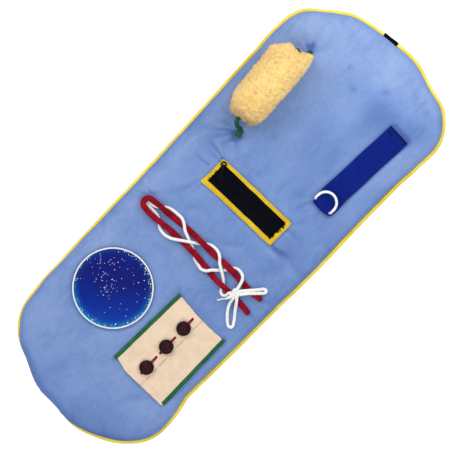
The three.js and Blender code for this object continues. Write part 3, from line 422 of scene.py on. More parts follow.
def outline():
    """Stations round the pad: core x, direction, reach of the seam, and reach of the cover's edge past it."""
    stations = []
    for reach, show, x, angle, turn, steps in (
        (UPPER_SIDE, UPPER_SHOW, CORE_LENGTH / 2, 0.5, 0, SIDE_STEPS),
        (LEFT_END, LEFT_SHOW, -CORE_LENGTH / 2, 0.5, 1, END_STEPS),
        (LOWER_SIDE, LOWER_SHOW, -CORE_LENGTH / 2, -0.5, 0, SIDE_STEPS),
        (RIGHT_END, RIGHT_SHOW, CORE_LENGTH / 2, -0.5, 1, END_STEPS),
    ):
        for i in range(steps):
            place = i / steps
            core = x if turn else x * (1 - 2 * place)
            way = math.pi * (angle + turn * place)
            shown = max(share_at(show, place), 0)
            inset = PIPING_RADIUS + (1 - min(shown / FULL_SHOW, 1)) * (1.6 + GAP)
            seam = END_REACH * share_at(reach, place) - inset
            stations.append((core, math.cos(way), math.sin(way), seam, inset - shown * 2 * PIPING_RADIUS))
    return np.array(stations)


def quarter_round(share):
    """The height of a full, rounded edge at a share of its width."""
    return (1 - (1 - np.clip(share, 0, 1)) ** 2.2) ** (1 / 2.2)


core, cos, sin, seam, edge = outline().T
LEFT_FIRST = SIDE_STEPS
LOWER_FIRST = LEFT_FIRST + END_STEPS
RIGHT_FIRST = LOWER_FIRST + SIDE_STEPS
ring_at = np.linspace(0, 1, 26) ** 0.6
cover_edge = edge + 2.1 * np.clip(-edge / PIPING_RADIUS, 0, 1)


def ring(reach, height):
    """A line round the pad, at a reach from its core and at a height."""
    return np.stack([core + cos * reach, sin * reach, height + 0 * reach], axis=1)


def modified(piece, kind, **settings):
    """Adds a modifier with these settings and applies it."""
    chosen(piece)
    added = piece.modifiers.new("shaped", kind)
    for key, value in settings.items():
        setattr(added, key, value)
    bpy.ops.object.modifier_apply(modifier="shaped")
    piece.select_set(False)


front_rows = [ring(share * (seam - ROLL_INSET), SEAM_HEIGHT + FLANGE + GAP + FRONT_RISE) for share in ring_at]
for share in np.linspace(0, 1, 16)[1:]:
    reach = seam - ROLL_INSET + share * (cover_edge + ROLL_INSET)
    front_rows.append(ring(reach, SEAM_HEIGHT + FLANGE + GAP + FRONT_RISE * quarter_round(1 - share)))
floor_rows = [ring(share * (seam + cover_edge), SEAM_HEIGHT + FLANGE + GAP) for share in np.linspace(1, 0, 12)[1:]]
front = grid_mesh("pad_front", front_rows + floor_rows, around=True)
faced_out(front, weld=0.0001)
modified(front, "REMESH", mode="VOXEL", voxel_size=0.0026)
modified(front, "SMOOTH", iterations=4)


# What is sewn on the pad, as boxes with a turn or as circles, so that the plush sinks along each seam and swells
# between them: centre, half sizes, turn in radians, corner.
sewn_on = [
    ((48.6, 1), (24.3, 73), 0, 4),
    ((204, -93), (84, 19.5), -0.0646, 2),
    ((208, 105.6), (74, 30), 0.068, 20),
    ((-190.9, 59.5), (63.5, 63.5), 0, 63.4),
    ((-199, -70), (72.5, 52), -0.02, 2),
    ((-57, 3), (15, 116), 0.11, 12),
    ((-75, -100), (34, 20), 0.2, 12),
    ((118, 88), (9, 18), 0, 6),
    ((290, 92), (9, 14), 0, 6),
]
stitched = sewn_on[:2] + sewn_on[3:5]

# Puckers: folds that run from one point to another, with their width and depth, as the photo shows them.
folds = [
    ((72, 76), (75.5, 118), 3.4, 2.2), ((74, 75), (82, 86), 3.0, 1.4), ((66, 78), (63, 104), 3.6, 1.2),
    ((52, 88), (42.4, 126), 5.0, 1.3), ((19, 80), (-38, 111), 6.0, 1.1), ((22, 70), (-2, 72), 5.0, 0.8),
    ((-55, 121), (-70, 139), 2.4, 1.4), ((-53, 122), (-63, 144), 2.4, 1.5), ((-51, 123), (-54, 144), 2.4, 1.5),
    ((-48, 123), (-46.5, 146), 2.4, 1.6), ((-45, 122), (-38, 145), 2.4, 1.5), ((-42, 119), (-28, 142), 2.6, 1.4),
    ((-68, 114), (-92, 124), 4.0, 1.0),
    ((112, 90), (88, 138), 4.0, 2.4), ((106, 92), (80, 119), 4.4, 1.8), ((110, 82), (76, 90), 5.0, 1.4),
    ((118, 90), (112, 126), 4.0, 1.3), ((104, 76), (92, 58), 5.0, 0.8),
    ((292, 94), (318, 104), 5.0, 1.2), ((290, 98), (300, 124), 5.0, 1.2), ((293, 86), (316, 76), 5.0, 1.0),
    ((29, -75), (37, -118), 5.0, 1.5), ((20, -76), (19.5, -114), 5.0, 1.2), ((25, -80), (22, -146), 6.0, 0.9),
    ((72, -73), (92, -84), 4.0, 0.7), ((58, -76), (66, -108), 5.0, 0.8),
    ((117, -72.5), (85, -58), 4.0, 1.4), ((118, -90), (92, -96), 5.0, 0.8),
    ((-45, -123), (-38, -138), 4.0, 1.0), ((-75, -123), (-77, -138), 4.0, 1.0),
    ((-127, -22), (-112, -4), 4.5, 0.7), ((-124, -30), (-100, -24), 4.5, 0.7), ((-126, -46), (-104, -48), 5.0, 0.6),
    ((-270, -18), (-284, -2), 5.0, 0.6), ((-272, -122), (-290, -132), 5.0, 0.6),
    ((-128, -122), (-112, -134), 5.0, 0.6),
    ((-96, 60), (-88, 30), 7.0, 0.7), ((-24, 60), (4, 40), 7.0, 0.7), ((-22, -20), (8, -34), 7.0, 0.7),
    ((92, 20), (124, 8), 8.0, 0.6), ((100, -20), (140, -30), 8.0, 0.6),
]

# Small marks pressed in the pile, and broad soft hollows: place, reach, depth.
hollows = [
    ((335.3, 21.5), 4.5, 0.8), ((351.4, -4.6), 4, 0.7), ((310.3, 29.4), 4, 0.8), ((332.8, -10.3), 4, 0.7),
    ((289.5, 3.1), 5, 0.7), ((320.4, -37.4), 7, 0.9), ((352, -92.4), 4, 0.7), ((342.8, -105.6), 4, 0.7),
    ((324.4, 104), 4.5, 0.8), ((268, 52), 6, 0.5), ((206, 44), 5, 0.4), ((152, 40), 6, 0.5), ((-300, 44), 16, 0.9),
    ((-320, -60), 22, 1.1), ((-250, -10), 14, 0.8), ((-120, 60), 20, 1.2), ((10, 0), 16, 1.0), ((110, -120), 20, 1.4),
    ((0, -100), 18, 1.2), ((150, -10), 26, 0.9), ((250, 20), 26, 0.7), ((-345, 40), 24, 1.0), ((350, -60), 26, 1.2),
    ((112, 83), 9, 3.0), ((291, 94), 8, 2.6), ((-58, 122), 9, 1.0), ((-42, 115.5), 5, 1.2),
    ((291, -84), 5, 1.1), ((290.7, -92), 5, 1.1), ((290.3, -100), 5, 1.2), ((290, -108), 5, 1.2),
    ((289.5, -115), 5, 1.1),
]


def box_reach(x, y, item):
    """How far points lie outside a sewn-on piece; negative inside it."""
    (cx, cy), (half_x, half_y), turn, corner = item
    dx, dy = x - cx, y - cy
    u = np.abs(dx * math.cos(turn) + dy * math.sin(turn)) - half_x + corner
    v = np.abs(-dx * math.sin(turn) + dy * math.cos(turn)) - half_y + corner
    return np.hypot(np.maximum(u, 0), np.maximum(v, 0)) + np.minimum(np.maximum(u, v), 0) - corner


def waves(x, y, seed, size, count=14):
    """Gentle random unevenness from a few crossing waves, between -1 and 1."""
    chance = random.Random(seed)
    total = 0
    for _ in range(count):
        angle = chance.uniform(0, 2 * math.pi)
        long = size * chance.uniform(0.6, 1.8)
        total = total + np.sin((x * math.cos(angle) + y * math.sin(angle)) * 2 * math.pi / long + chance.uniform(0, 6))
    return total / math.sqrt(count) / 1.4


def inside_seam(x, y):
    """How far inside the pad's seam points lie, in millimetres."""
    nearest = np.clip(x, -CORE_LENGTH / 2, CORE_LENGTH / 2)
    out = np.hypot(x - nearest, y)
    way = np.arctan2(y, x - nearest)
    turn = np.linspace(0, math.pi, END_STEPS + 1)[:-1]
    right = np.interp(way, turn - math.pi / 2, seam[RIGHT_FIRST:])
    left = np.interp(way % (2 * math.pi), turn + math.pi / 2, seam[LEFT_FIRST:LOWER_FIRST])
    upper = np.interp(-x, -core[:LEFT_FIRST], seam[:LEFT_FIRST])
    lower = np.interp(x, core[LOWER_FIRST:RIGHT_FIRST], seam[LOWER_FIRST:RIGHT_FIRST])
    side = np.where(y > 0, upper, lower)
    return np.where(nearest >= CORE_LENGTH / 2, right, np.where(nearest <= -CORE_LENGTH / 2, left, side)) - out


def points_of(piece):
    """The points of a piece, in millimetres."""
    return np.array([vertex.co for vertex in piece.data.vertices]) / MM


def put_points(piece, points):
    piece.data.vertices.foreach_set("co", (points * MM).astype(np.float32).ravel())


def mark_points(piece, name, values):
    """Stores a value from 0 to 1 at each point, for a material to read."""
    layer = piece.data.attributes.new(name, "FLOAT", "POINT")
    layer.data.foreach_set("value", np.clip(values, 0, 1).astype(np.float32).ravel())


def spread(away, reach):
    """A soft bump: 1 at its middle, and it falls off over the reach."""
    return np.exp(-(away / reach) ** 2)


def eased(value, start, end):
    """0 before the start, 1 after the end, and a straight line between them."""
    return np.clip((value - start) / (end - start), 0, 1)


points = points_of(front)
x, y, z = points.T
inside = inside_seam(x, y)
top = eased(z, SEAM_HEIGHT + 2.5, SEAM_HEIGHT + 6.5)
near = np.min([box_reach(x, y, item) for item in sewn_on], axis=0)
sewn = np.min([box_reach(x, y, item) for item in stitched], axis=0)
free = eased(near, 0, 22) ** 1.3 * eased(inside, 12, 52)
lift = 2.3 * free + 0.5 * free * waves(x, y, 3, 90)
lift -= 1.1 * spread(np.maximum(sewn, 0), 2.6) * (sewn > -8)
lift += 0.45 * spread(sewn - 9, 6) * (near > 2)

# Painted light and shade on the pile: darker along the seams of the sewn pieces and at the edges where the plush
# curves away, and broad painted light and shade patches, each with its middle, its reaches and its depth.
painted_shading = 0.08 * spread(np.maximum(sewn, 0), 4) + 0.35 * spread(inside, 7)
painted_shading -= 0.42 * spread(inside - 22, 14) * eased(y, 60, 110) * np.clip((x + 290) / 110, 0.2, 1)
painted_shading -= 0.25 * eased(x, 200, 260) + 0.3 * eased(x, 300, 340) * eased(inside, 6, 18)
painted_shading -= 0.2 * eased(-x, 60, 160)
painted_shading += eased(-x, 300, 360) * (0.2 + 0.3 * eased(-y, 0, 80))
painted_shading += 0.2 * spread(y + 44, 22) * eased(x, 80, 110) * eased(-x, -330, -290)
for (mx, my), (reach_x, reach_y), depth in (
    ((292, -70), (48, 44), 0.52), ((302, 0), (34, 30), 0.28), ((225, 50), (60, 16), -0.2), ((40, -95), (45, 22), 0.26),
    ((-250, 128), (34, 16), 0.24), ((314, -118), (30, 22), 0.45), ((352, -45), (24, 32), -0.4),
    ((203, -4), (40, 22), 0.18), ((130, 80), (26, 16), -0.4),
):
    painted_shading += depth * spread(x - mx, reach_x) * spread(y - my, reach_y)
for (ax, ay), (bx, by), width, depth in folds:
    run = math.hypot(bx - ax, by - ay)
    ux, uy = (bx - ax) / run, (by - ay) / run
    t = ((x - ax) * ux + (y - ay) * uy) / run
    bend = 0.07 * run * np.sin(t * math.pi + ax)
    across = (y - ay) * ux - (x - ax) * uy - bend
    taper = np.clip(1 - np.clip(t, 0, 2), 0, 1) ** 0.8 * spread(np.minimum(t, 0) * run, 5)
    opened = width * (0.6 + 0.9 * np.clip(t, 0, 1))
    lift -= depth * taper * spread(across, opened)
    # Painted shade along the fold, and a painted highlight beside it.
    painted_shading += 0.26 * depth * taper * spread(across, 0.75 * opened)
    painted_shading -= 0.15 * depth * taper * spread(across + 1.7 * opened, 0.8 * opened)
    banks = spread(across - 2 * opened, 1.3 * opened) + spread(across + 2 * opened, 1.3 * opened)
    lift += 0.55 * depth * taper * banks * (near > 1)
for (hx, hy), reach, depth in hollows:
    lift -= depth * spread(np.hypot(x - hx, y - hy), reach)
    # Painted shade in the hollow, stronger in the small marks.
    painted_shading += (0.42 if reach < 10 else 0.1) * depth * spread(np.hypot(x - hx, y - hy), reach)
lift += spread(inside, 13) * (0.55 * waves(x, y, 5, 17) + 0.5 * waves(x, y, 6, 46))
lift += 0.16 * waves(x, y, 11, 13) * free + 0.35 * waves(x, y, 12, 38) * free
lift = np.where(near < 0.5, np.minimum(lift, -0.15), lift)

# The roll weighs a long trough in the pad, in its own place and turn.
(roll_x, roll_y), _, roll_turn, _ = sewn_on[2]
from_roll = -(x - roll_x) * math.sin(roll_turn) + (y - roll_y) * math.cos(roll_turn)
lift -= 2.6 * spread(from_roll, 15) * eased(-np.abs(x - roll_x), -78, -70)
points[:, 2] += lift * top
wobble = 0.4 * waves(x, y, 8, 60) * spread(inside, 12)
points[:, 0] += wobble * np.sign(x) * (np.abs(x) > CORE_LENGTH / 2)
points[:, 1] += wobble * np.sign(y)
put_points(front, points)
front.data.update()
# The painted light and shade are kept on the points, for the plush's colour.
mark_points(front, "painted_shading", 0.5 + 0.5 * painted_shading)
front.data.shade_smooth()


def mix(made, factor, first, second, blend="MIX"):
    """Two colours mixed as far as the factor says. Each part is a socket or a plain value."""
    new = node(made, "Mix", data_type="RGBA", blend_type=blend)
    for index, part in ((0, factor), (6, first), (7, second)):
        feed(made, part, new.inputs[index])
    return new.outputs[2]


def plush(name, light, deep, creased=False):
    """Short-pile plush: the pile lies this way and that, so it is mottled; with creased set, it also takes the painted
    light and shade kept on the piece's points.
    """
    made, shader = material(name, light, 0.86, sheen=0.45, gloss=0.1)
    shader.inputs["Sheen Roughness"].default_value = 0.5
    shader.inputs["Sheen Tint"].default_value = linear(222, 226, 238)
    place = node(made, "TexCoord").outputs["Object"]
    broad = node(made, "TexNoise", ("Vector", place), Scale=11, Detail=4, Roughness=0.55, Distortion=0.6)
    brushed = node(made, "Mapping", ("Vector", place), Rotation=(0, 0, -0.6), Scale=(1, 1.9, 1))
    streaks = node(made, "TexNoise", ("Vector", brushed.outputs[0]), Scale=30, Detail=5, Roughness=0.6,
                   Distortion=1.6)
    pile = node(made, "TexNoise", ("Vector", place), Scale=620, Detail=3, Roughness=0.7)
    both = node(made, "Mix", ("A", broad.outputs[0]), ("B", streaks.outputs[0]), data_type="FLOAT", Factor=0.36)
    # The pale stop is partly painted sheen: the whitish lift where the pile lies toward the light, on the pile's own
    # mottling.
    bright = tuple(part + more for part, more in zip(light, (14, 11, 6)))
    tone = ramp(made, both.outputs[0], [(0.34, deep), (0.5, light), (0.68, bright)])
    speck = ramp(made, pile.outputs[0], [(0.3, (226, 226, 226)), (0.62, (255, 255, 255))])
    finished = mix(made, 0.8, tone, speck, "MULTIPLY")
    if creased:
        # Painted light and shade: darker in folds, hollows and along seams and edges, lighter on fold banks and on
        # broad lit patches.
        painted_shading = node(made, "Attribute", attribute_name="painted_shading")
        wear_and_shade = ramp(made, painted_shading.outputs["Fac"], [(0.2, (255, 255, 255)), (0.38, (239, 243, 251)),
                                                   (0.5, (222, 233, 247)), (0.6, (200, 214, 236)),
                                                   (0.8, (154, 170, 208))])
        finished = mix(made, 1, finished, wear_and_shade, "MULTIPLY")
    feed(made, finished, shader.inputs["Base Color"])
    bumped(made, shader, streaks.outputs[0], 0.22, 0.0022)
    bumped(made, shader, pile.outputs[0], 0.35, 0.0006)
    return made


plush_front = plush("plush_blue", (138, 163, 209), (121, 147, 197), creased=True)
dressed(front, "pad", "plush", "front_cover", "filling", finish=plush_front)


# Back cover: the same plush, lying flat on the floor, and rounded up to the seam.
BACK_RISE = 7.1
back_seam = seam - PIPING_RADIUS * 0.5
back_rows = [ring(share * back_seam, SEAM_HEIGHT - FLANGE - GAP) for share in np.linspace(0, 1, 12)]
for share in np.linspace(1, 0, 16):
    reach = seam - ROLL_INSET + share * (back_seam - seam + ROLL_INSET)
    back_rows.append(ring(reach, BACK_RISE - BACK_RISE * quarter_round(1 - share)))
back_rows += [ring(share * (seam - ROLL_INSET), 0) for share in np.linspace(1, 0, 14)[1:]]
back = grid_mesh("pad_back", back_rows, around=True)
faced_out(back, weld=0.0001)
modified(back, "REMESH", mode="VOXEL", voxel_size=0.0034)
points = points_of(back)
x, y, z = points.T
points[:, 2] += eased(-z, -7.5, -4.5) * (0.5 + 0.45 * waves(x, y, 21, 55) + 0.3 * waves(x, y, 22, 22)
                                         + spread(inside_seam(x, y), 14) * 0.4 * waves(x, y, 23, 16))
points[:, 2] = np.maximum(points[:, 2], 0)
put_points(back, points)
back.data.shade_smooth()
dressed(back, "pad", "plush", "back_cover", finish=plush("plush_back", (118, 150, 206), (102, 135, 194)))


# Piping: a cord wrapped in yellow cotton cut on the bias and sewn in the seam all round. Its wrap shows fine
# slanting threads, and it is a little pinched where the stitches hold it.
seam_line = ring(seam, SEAM_HEIGHT)
seam_line = np.vstack([seam_line, seam_line[:1]])
piping_line = places_on(seam_line, np.linspace(0, distances(seam_line)[-1], 1401)[:-1])
STITCH_PITCH = 7.3


def bead(along, angle):
    """The section of the piping, with the twist of its wrap and a dent at each stitch."""
    reach = PIPING_RADIUS + 0.2 + 0.1 * np.sin(angle + along * 0.9) + 0.12 * waves(along, 0 * along, 31, 14)
    reach = reach - 0.09 * spread(along % STITCH_PITCH - 3.6, 0.9)
    return reach * np.cos(angle), reach * np.sin(angle)


piping = swept("edge_piping_wrap", piping_line, 18, bead, loop=True)
piping_yellow, shader = material("piping_cotton", (238, 211, 76), 0.72, sheen=0.1)
uv = node(piping_yellow, "UVMap", uv_map="along")
slanted = node(piping_yellow, "Mapping", ("Vector", uv.outputs[0]), Rotation=(0, 0, 0.5), Scale=(1, 0.02, 1))
twill = node(piping_yellow, "TexWave", ("Vector", slanted.outputs[0]), Scale=420, Distortion=0.6, Detail=1)
place = node(piping_yellow, "TexCoord").outputs["Object"]
wear_and_shade = node(piping_yellow, "TexNoise", ("Vector", place), Scale=38, Detail=5)
tone = ramp(piping_yellow, wear_and_shade.outputs[0], [(0.3, (228, 196, 50)), (0.5, (238, 213, 72)), (0.7, (246, 225, 100))])
feed(piping_yellow, tone, shader.inputs["Base Color"])
bumped(piping_yellow, shader, twill.outputs["Fac"], 0.3, 0.0003)
dressed(piping, "pad", "piping", "edge_piping", finish=piping_yellow)


# Blank tab: a short black satin ribbon folded over the piping at the right end.
def layered(piece, thickness, rounded=0):
    """Gives a cloth its thickness, evenly to both sides, with soft edges."""
    modified(piece, "SOLIDIFY", thickness=thickness * MM, offset=0, use_even_offset=True)
    if rounded:
        modified(piece, "BEVEL", width=rounded * MM, segments=2, limit_method="ANGLE", angle_limit=math.radians(50))
    faced_out(piece)
    bpy.ops.object.shade_smooth_by_angle(angle=math.radians(40))
    piece.select_set(False)
    return piece


def grained(name, color, roughness, texture, stops, bump, output="Fac", sheen=0, metallic=0, gloss=0.3, **values):
    """A finish whose colour and slight bump come from one texture. Gives it, its shader and the texture's output."""
    made, shader = material(name, color, roughness, sheen, metallic, gloss)
    place = node(made, "TexCoord").outputs["Object"]
    grain = node(made, texture, ("Vector", place), **values).outputs[output]
    feed(made, ramp(made, grain, stops), shader.inputs["Base Color"])
    bumped(made, shader, grain, *bump)
    return made, shader, grain


def seam_point(share):
    """The place on the seam at a share of the way round the right end."""
    spot = RIGHT_FIRST + END_STEPS * share
    return np.array([np.interp(spot, np.arange(len(seam)), part) for part in (core + cos * seam, sin * seam)])


tab_start, tab_end = seam_point(0.5), seam_point(0.5556)
tab_way = (tab_end - tab_start) / np.linalg.norm(tab_end - tab_start)
tab_out = np.array([tab_way[1], -tab_way[0]])
TAB_REACH = 3.55
tab_rows = []
for share in np.linspace(0, 1, 15):
    middle = tab_start + (tab_end - tab_start) * share
    row = [(-4.2, TAB_REACH), (-3, 3.6), (-1.5, 3.58)]
    row += [(TAB_REACH * math.cos(a), TAB_REACH * math.sin(a)) for a in np.linspace(math.pi / 2, -math.pi / 2, 15)]
    row += [(-1.5, -3.5), (-2.6, -3.5)]
    fray = 0.12 * math.sin(share * 9)
    tab_rows.append([(*(middle + tab_out * (out + fray)), SEAM_HEIGHT + high) for out, high in row])
tab = layered(grid_mesh("blank_tab", tab_rows), 0.45, 0.1)
satin_black = grained("tab_satin", (8, 6, 11), 0.5, "TexWave", [(0.2, (1, 0, 3)), (0.9, (6, 3, 9))], (0.3, 0.0002),
                      gloss=0.03, Scale=900, Distortion=0.4, bands_direction="Y")[0]
dressed(tab, "pad", "black_tape", "label_tab", finish=satin_black)


# Zip panel: a frame of folded yellow cotton, 146 by 49 mm, stitched down twice round a window 35 mm wide. Its
# edges are a little wavy where the stitches draw them in.
ZIP_MIDDLE = (48.6, 1)
ZIP_FRAME = (48.6, 146)
ZIP_WINDOW = (35.3, 132)
WINDOW_SHIFT = (0.65, 1)
CORNER = 3
SEWN_INSET = 1.9


def cotton(name, color, deep, thread=1100, roughness=0.8, sheen=0.25, weave=0.35, wrinkled=0):
    """Plain woven cotton: two crossing sets of threads, an uneven colour, and fine wrinkles with painted shade along
    their lines.
    """
    made, shader = material(name, color, roughness, sheen=sheen, gloss=0.04)
    place = node(made, "TexCoord").outputs["Object"]
    warp, weft = (node(made, "TexWave", ("Vector", place), Scale=thread / 6.3, Distortion=1.2, Detail=2,
                       bands_direction=way).outputs["Fac"] for way in "XY")
    crossed = math_of(made, "MULTIPLY", warp, weft)
    cloud = node(made, "TexNoise", ("Vector", place), Scale=45, Detail=6, Roughness=0.6).outputs[0]
    tone = ramp(made, cloud, [(0.32, deep), (0.6, color)])
    shade = ramp(made, crossed, [(0.0, (214, 214, 214)), (0.5, (255, 255, 255))])
    finished = mix(made, weave, tone, shade, "MULTIPLY")
    if wrinkled:
        bent = node(made, "TexNoise", ("Vector", place), Scale=26, Detail=4, Roughness=0.55, Distortion=1.8)
        ridge = math_of(made, "ABSOLUTE", math_of(made, "SUBTRACT", bent.outputs[0], 0.5))
        # Painted shade: the wrinkles' lines are darkened.
        lines = ramp(made, ridge, [(0, (206, 196, 190)), (0.012, (232, 228, 224)), (0.035, (255, 255, 255))])
        finished = mix(made, wrinkled, finished, lines, "MULTIPLY")
        bumped(made, shader, ridge, 0.5 * wrinkled, 0.003)
    feed(made, finished, shader.inputs["Base Color"])
    bumped(made, shader, crossed, 0.4, 0.00025)
    bumped(made, shader, cloud, 0.2, 0.0008)
    return made


bpy.ops.mesh.primitive_plane_add(size=1, location=(0, 0, 0))
zip_frame = bpy.context.object
zip_frame.name = "zip_frame_cloth"
bpy.ops.transform.resize(value=(ZIP_FRAME[0] * MM, ZIP_FRAME[1] * MM, 1))
bpy.ops.transform.translate(value=(ZIP_MIDDLE[0] * MM, ZIP_MIDDLE[1] * MM, (SEAT + 1.35) * MM))
bpy.ops.object.transform_apply(location=True, rotation=True, scale=True)
bpy.ops.object.mode_set(mode="EDIT")
bpy.ops.mesh.select_all(action="SELECT")
bpy.ops.mesh.inset(thickness=(ZIP_FRAME[0] - ZIP_WINDOW[0]) / 2 * MM)
inset_length = ZIP_FRAME[1] - ZIP_FRAME[0] + ZIP_WINDOW[0]
bpy.ops.transform.resize(value=(1, ZIP_WINDOW[1] / inset_length, 1), center_override=(0, ZIP_MIDDLE[1] * MM, 0))
bpy.ops.transform.translate(value=(WINDOW_SHIFT[0] * MM, WINDOW_SHIFT[1] * MM, 0))
bpy.ops.mesh.delete(type="FACE")
bpy.ops.mesh.select_all(action="SELECT")
bpy.ops.mesh.subdivide(number_cuts=30)
bpy.ops.object.mode_set(mode="OBJECT")
points = points_of(zip_frame)
px, py = points[:, 0] - ZIP_MIDDLE[0], points[:, 1] - ZIP_MIDDLE[1]
from_outer = np.minimum(ZIP_FRAME[0] / 2 - np.abs(px), ZIP_FRAME[1] / 2 - np.abs(py))
past_x, past_y = np.abs(px) - ZIP_FRAME[0] / 2 + CORNER, np.abs(py) - ZIP_FRAME[1] / 2 + CORNER
in_corner = (past_x > 0) & (past_y > 0)
shrink = np.where(in_corner, np.maximum(past_x, past_y) / np.maximum(np.hypot(past_x, past_y), 1e-6) - 1, 0)
pulled = eased(-px, 0, 24) ** 2 * eased(py, 42, 72) ** 2
points[:, 0] += np.sign(px) * past_x * shrink - 2.2 * pulled
points[:, 1] += np.sign(py) * past_y * shrink + 2.0 * pulled
points[:, 0] += 0.35 * waves(points[:, 0], points[:, 1], 41, 30)
points[:, 1] += 0.3 * waves(points[:, 0], points[:, 1], 42, 30)
points[:, 2] += 0.22 * waves(points[:, 0], points[:, 1], 43, 14) - 0.35 * spread(from_outer - SEWN_INSET, 0.8)
points[:, 2] -= 0.3 * (from_outer < 0.6)
put_points(zip_frame, points)
layered(zip_frame, 1.5, 0.5)
frame_yellow = cotton("frame_cotton", (243, 209, 55), (230, 190, 36))
dressed(zip_frame, "pad", "yellow_fabric", "zip_frame", finish=frame_yellow)


def stitches(name, paths, pitch, long, thick, height, sides=6):
    """Rows of stitches as one mesh: each is a short arched thread lying along its path, in millimetres."""
    verts, faces = [], []
    profile = [(-0.5, 0.15), (-0.42, 0.75), (-0.2, 1), (0.2, 1), (0.42, 0.75), (0.5, 0.15)]
    for path in paths:
        line = np.array(path)
        length = distances(line)[-1]
        count = max(1, round(length / pitch))
        for i in range(count):
            at = length * (i + 0.5) / count
            a, b = places_on(line, [at - long / 2, at + long / 2])
            middle, way = (a + b) / 2, (b - a) / max(np.linalg.norm(b - a), 1e-6)
            side = np.cross(way, (0, 0, 1))
            first = len(verts)
            for t, wide in profile:
                for k in range(sides):
                    angle = 2 * math.pi * k / sides
                    verts.append(tuple((middle + way * t * long + side * math.cos(angle) * wide * thick / 2
                                        + np.array([0, 0, height + (math.sin(angle) * wide - 1 + wide) * thick / 2]))
                                       * MM))
            for r in range(len(profile) - 1):
                for k in range(sides):
                    n = (k + 1) % sides
                    faces.append((first + r * sides + k, first + (r + 1) * sides + k,
                                  first + (r + 1) * sides + n, first + r * sides + n))
            faces.append(tuple(first + k for k in range(sides)))
            faces.append(tuple(first + (len(profile) - 1) * sides + k for k in reversed(range(sides))))
    made = mesh_object(name, verts, faces)
    faced_out(made)
    bpy.ops.object.shade_smooth()
    made.select_set(False)
    return made


def sewing_thread(name, color):
    """A thread's finish, with the fine slant of its ply."""
    dark = tuple(part * 0.72 for part in color)
    return grained(name, color, 0.6, "TexWave", [(0.1, dark), (0.8, color)], (0.4, 0.0002), sheen=0.04, gloss=0.06,
                   Scale=500, Distortion=1, bands_direction="DIAGONAL")[0]


def rectangle_paths(middle, half_x, half_y, height):
    """The four sides of an upright rectangle, each from corner to corner."""
    corners = [(middle[0] + side_x * half_x, middle[1] + side_y * half_y, height)
               for side_x, side_y in ((-1, -1), (1, -1), (1, 1), (-1, 1))]
    return [(corners[i], corners[(i + 1) % 4]) for i in range(4)]


window_middle = (ZIP_MIDDLE[0] + WINDOW_SHIFT[0], ZIP_MIDDLE[1] + WINDOW_SHIFT[1])
chain_middle = (ZIP_MIDDLE[0], window_middle[1])
sewn_x, sewn_y = (size / 2 - SEWN_INSET for size in ZIP_FRAME)
zip_stitch_paths = rectangle_paths(ZIP_MIDDLE, sewn_x, sewn_y, SEAT + 2.0)
zip_stitch_paths += rectangle_paths(window_middle, ZIP_WINDOW[0] / 2 + 1.5, ZIP_WINDOW[1] / 2 + 1.5, SEAT + 2.15)
zip_stitches = stitches("zip_frame_stitches", zip_stitch_paths, 2.9, 1.8, 0.7, 0.12)
dressed(zip_stitches, "pad", "yellow_fabric", finish=sewing_thread("yellow_thread", (188, 138, 14)))

# Zip tapes: black woven tape on each side of the chain, with a corded edge, soft lengthwise folds, and frayed
# ends that stick out over the short sides of the frame.
zip_black = cotton("zip_tape_weave", (8, 8, 19), (3, 3, 10), thread=2400, roughness=0.7, sheen=0.01, weave=0.5)
TAPE_HALF_LENGTH = 69
SIDES = ((-1, "left"), (1, "right"))
for side, word in SIDES:
    rows = []
    for y in np.linspace(-TAPE_HALF_LENGTH, TAPE_HALF_LENGTH, 140):
        row = []
        for reach in np.linspace(0.15, 19.4, 30):
            lift = 0.75 * spread(reach - 7.2 - 0.5 * math.sin(y / 21 + side), 1.3)
            lift += 0.55 * spread(reach - 11.5 - 0.8 * math.sin(y / 17), 1.6) + 0.35 * spread(reach - 2.6, 0.5)
            lift *= min(1, (TAPE_HALF_LENGTH - abs(y)) / 9 + 0.15)
            lift -= 0.3 * (reach < 2.2) + 0.25 * (reach > 17.4)
            height = SEAT + 0.75 + lift + 0.05 * math.sin(y / 3.1 + reach)
            row.append((chain_middle[0] + side * reach, chain_middle[1] + y, height))
        rows.append(row)
    tape = layered(grid_mesh(f"zip_tape_{word}_weave", rows), 0.55)
    dressed(tape, "pad", "zip_black", f"zip_tape_{word}", finish=zip_black)


# Zip teeth: moulded black teeth, each a foot clamped on the tape and a head that locks between two of the others.
def ranged(made, value, start, end, low=0, high=1):
    """A value mapped from one range to another, and kept inside it."""
    return node(made, "MapRange", ("Value", value), From_Min=start, From_Max=end, To_Min=low, To_Max=high).outputs[0]


def rod(wide, high):
    """The section of a plain round or oval rod, from its two radii."""
    return lambda along, angle: (wide * np.cos(angle) + 0 * along, high * np.sin(angle) + 0 * along)


def joined(pieces, name):
    """Joins pieces into one, which stays selected."""
    chosen(*pieces)
    bpy.ops.object.join()
    pieces[0].name = name
    return pieces[0]


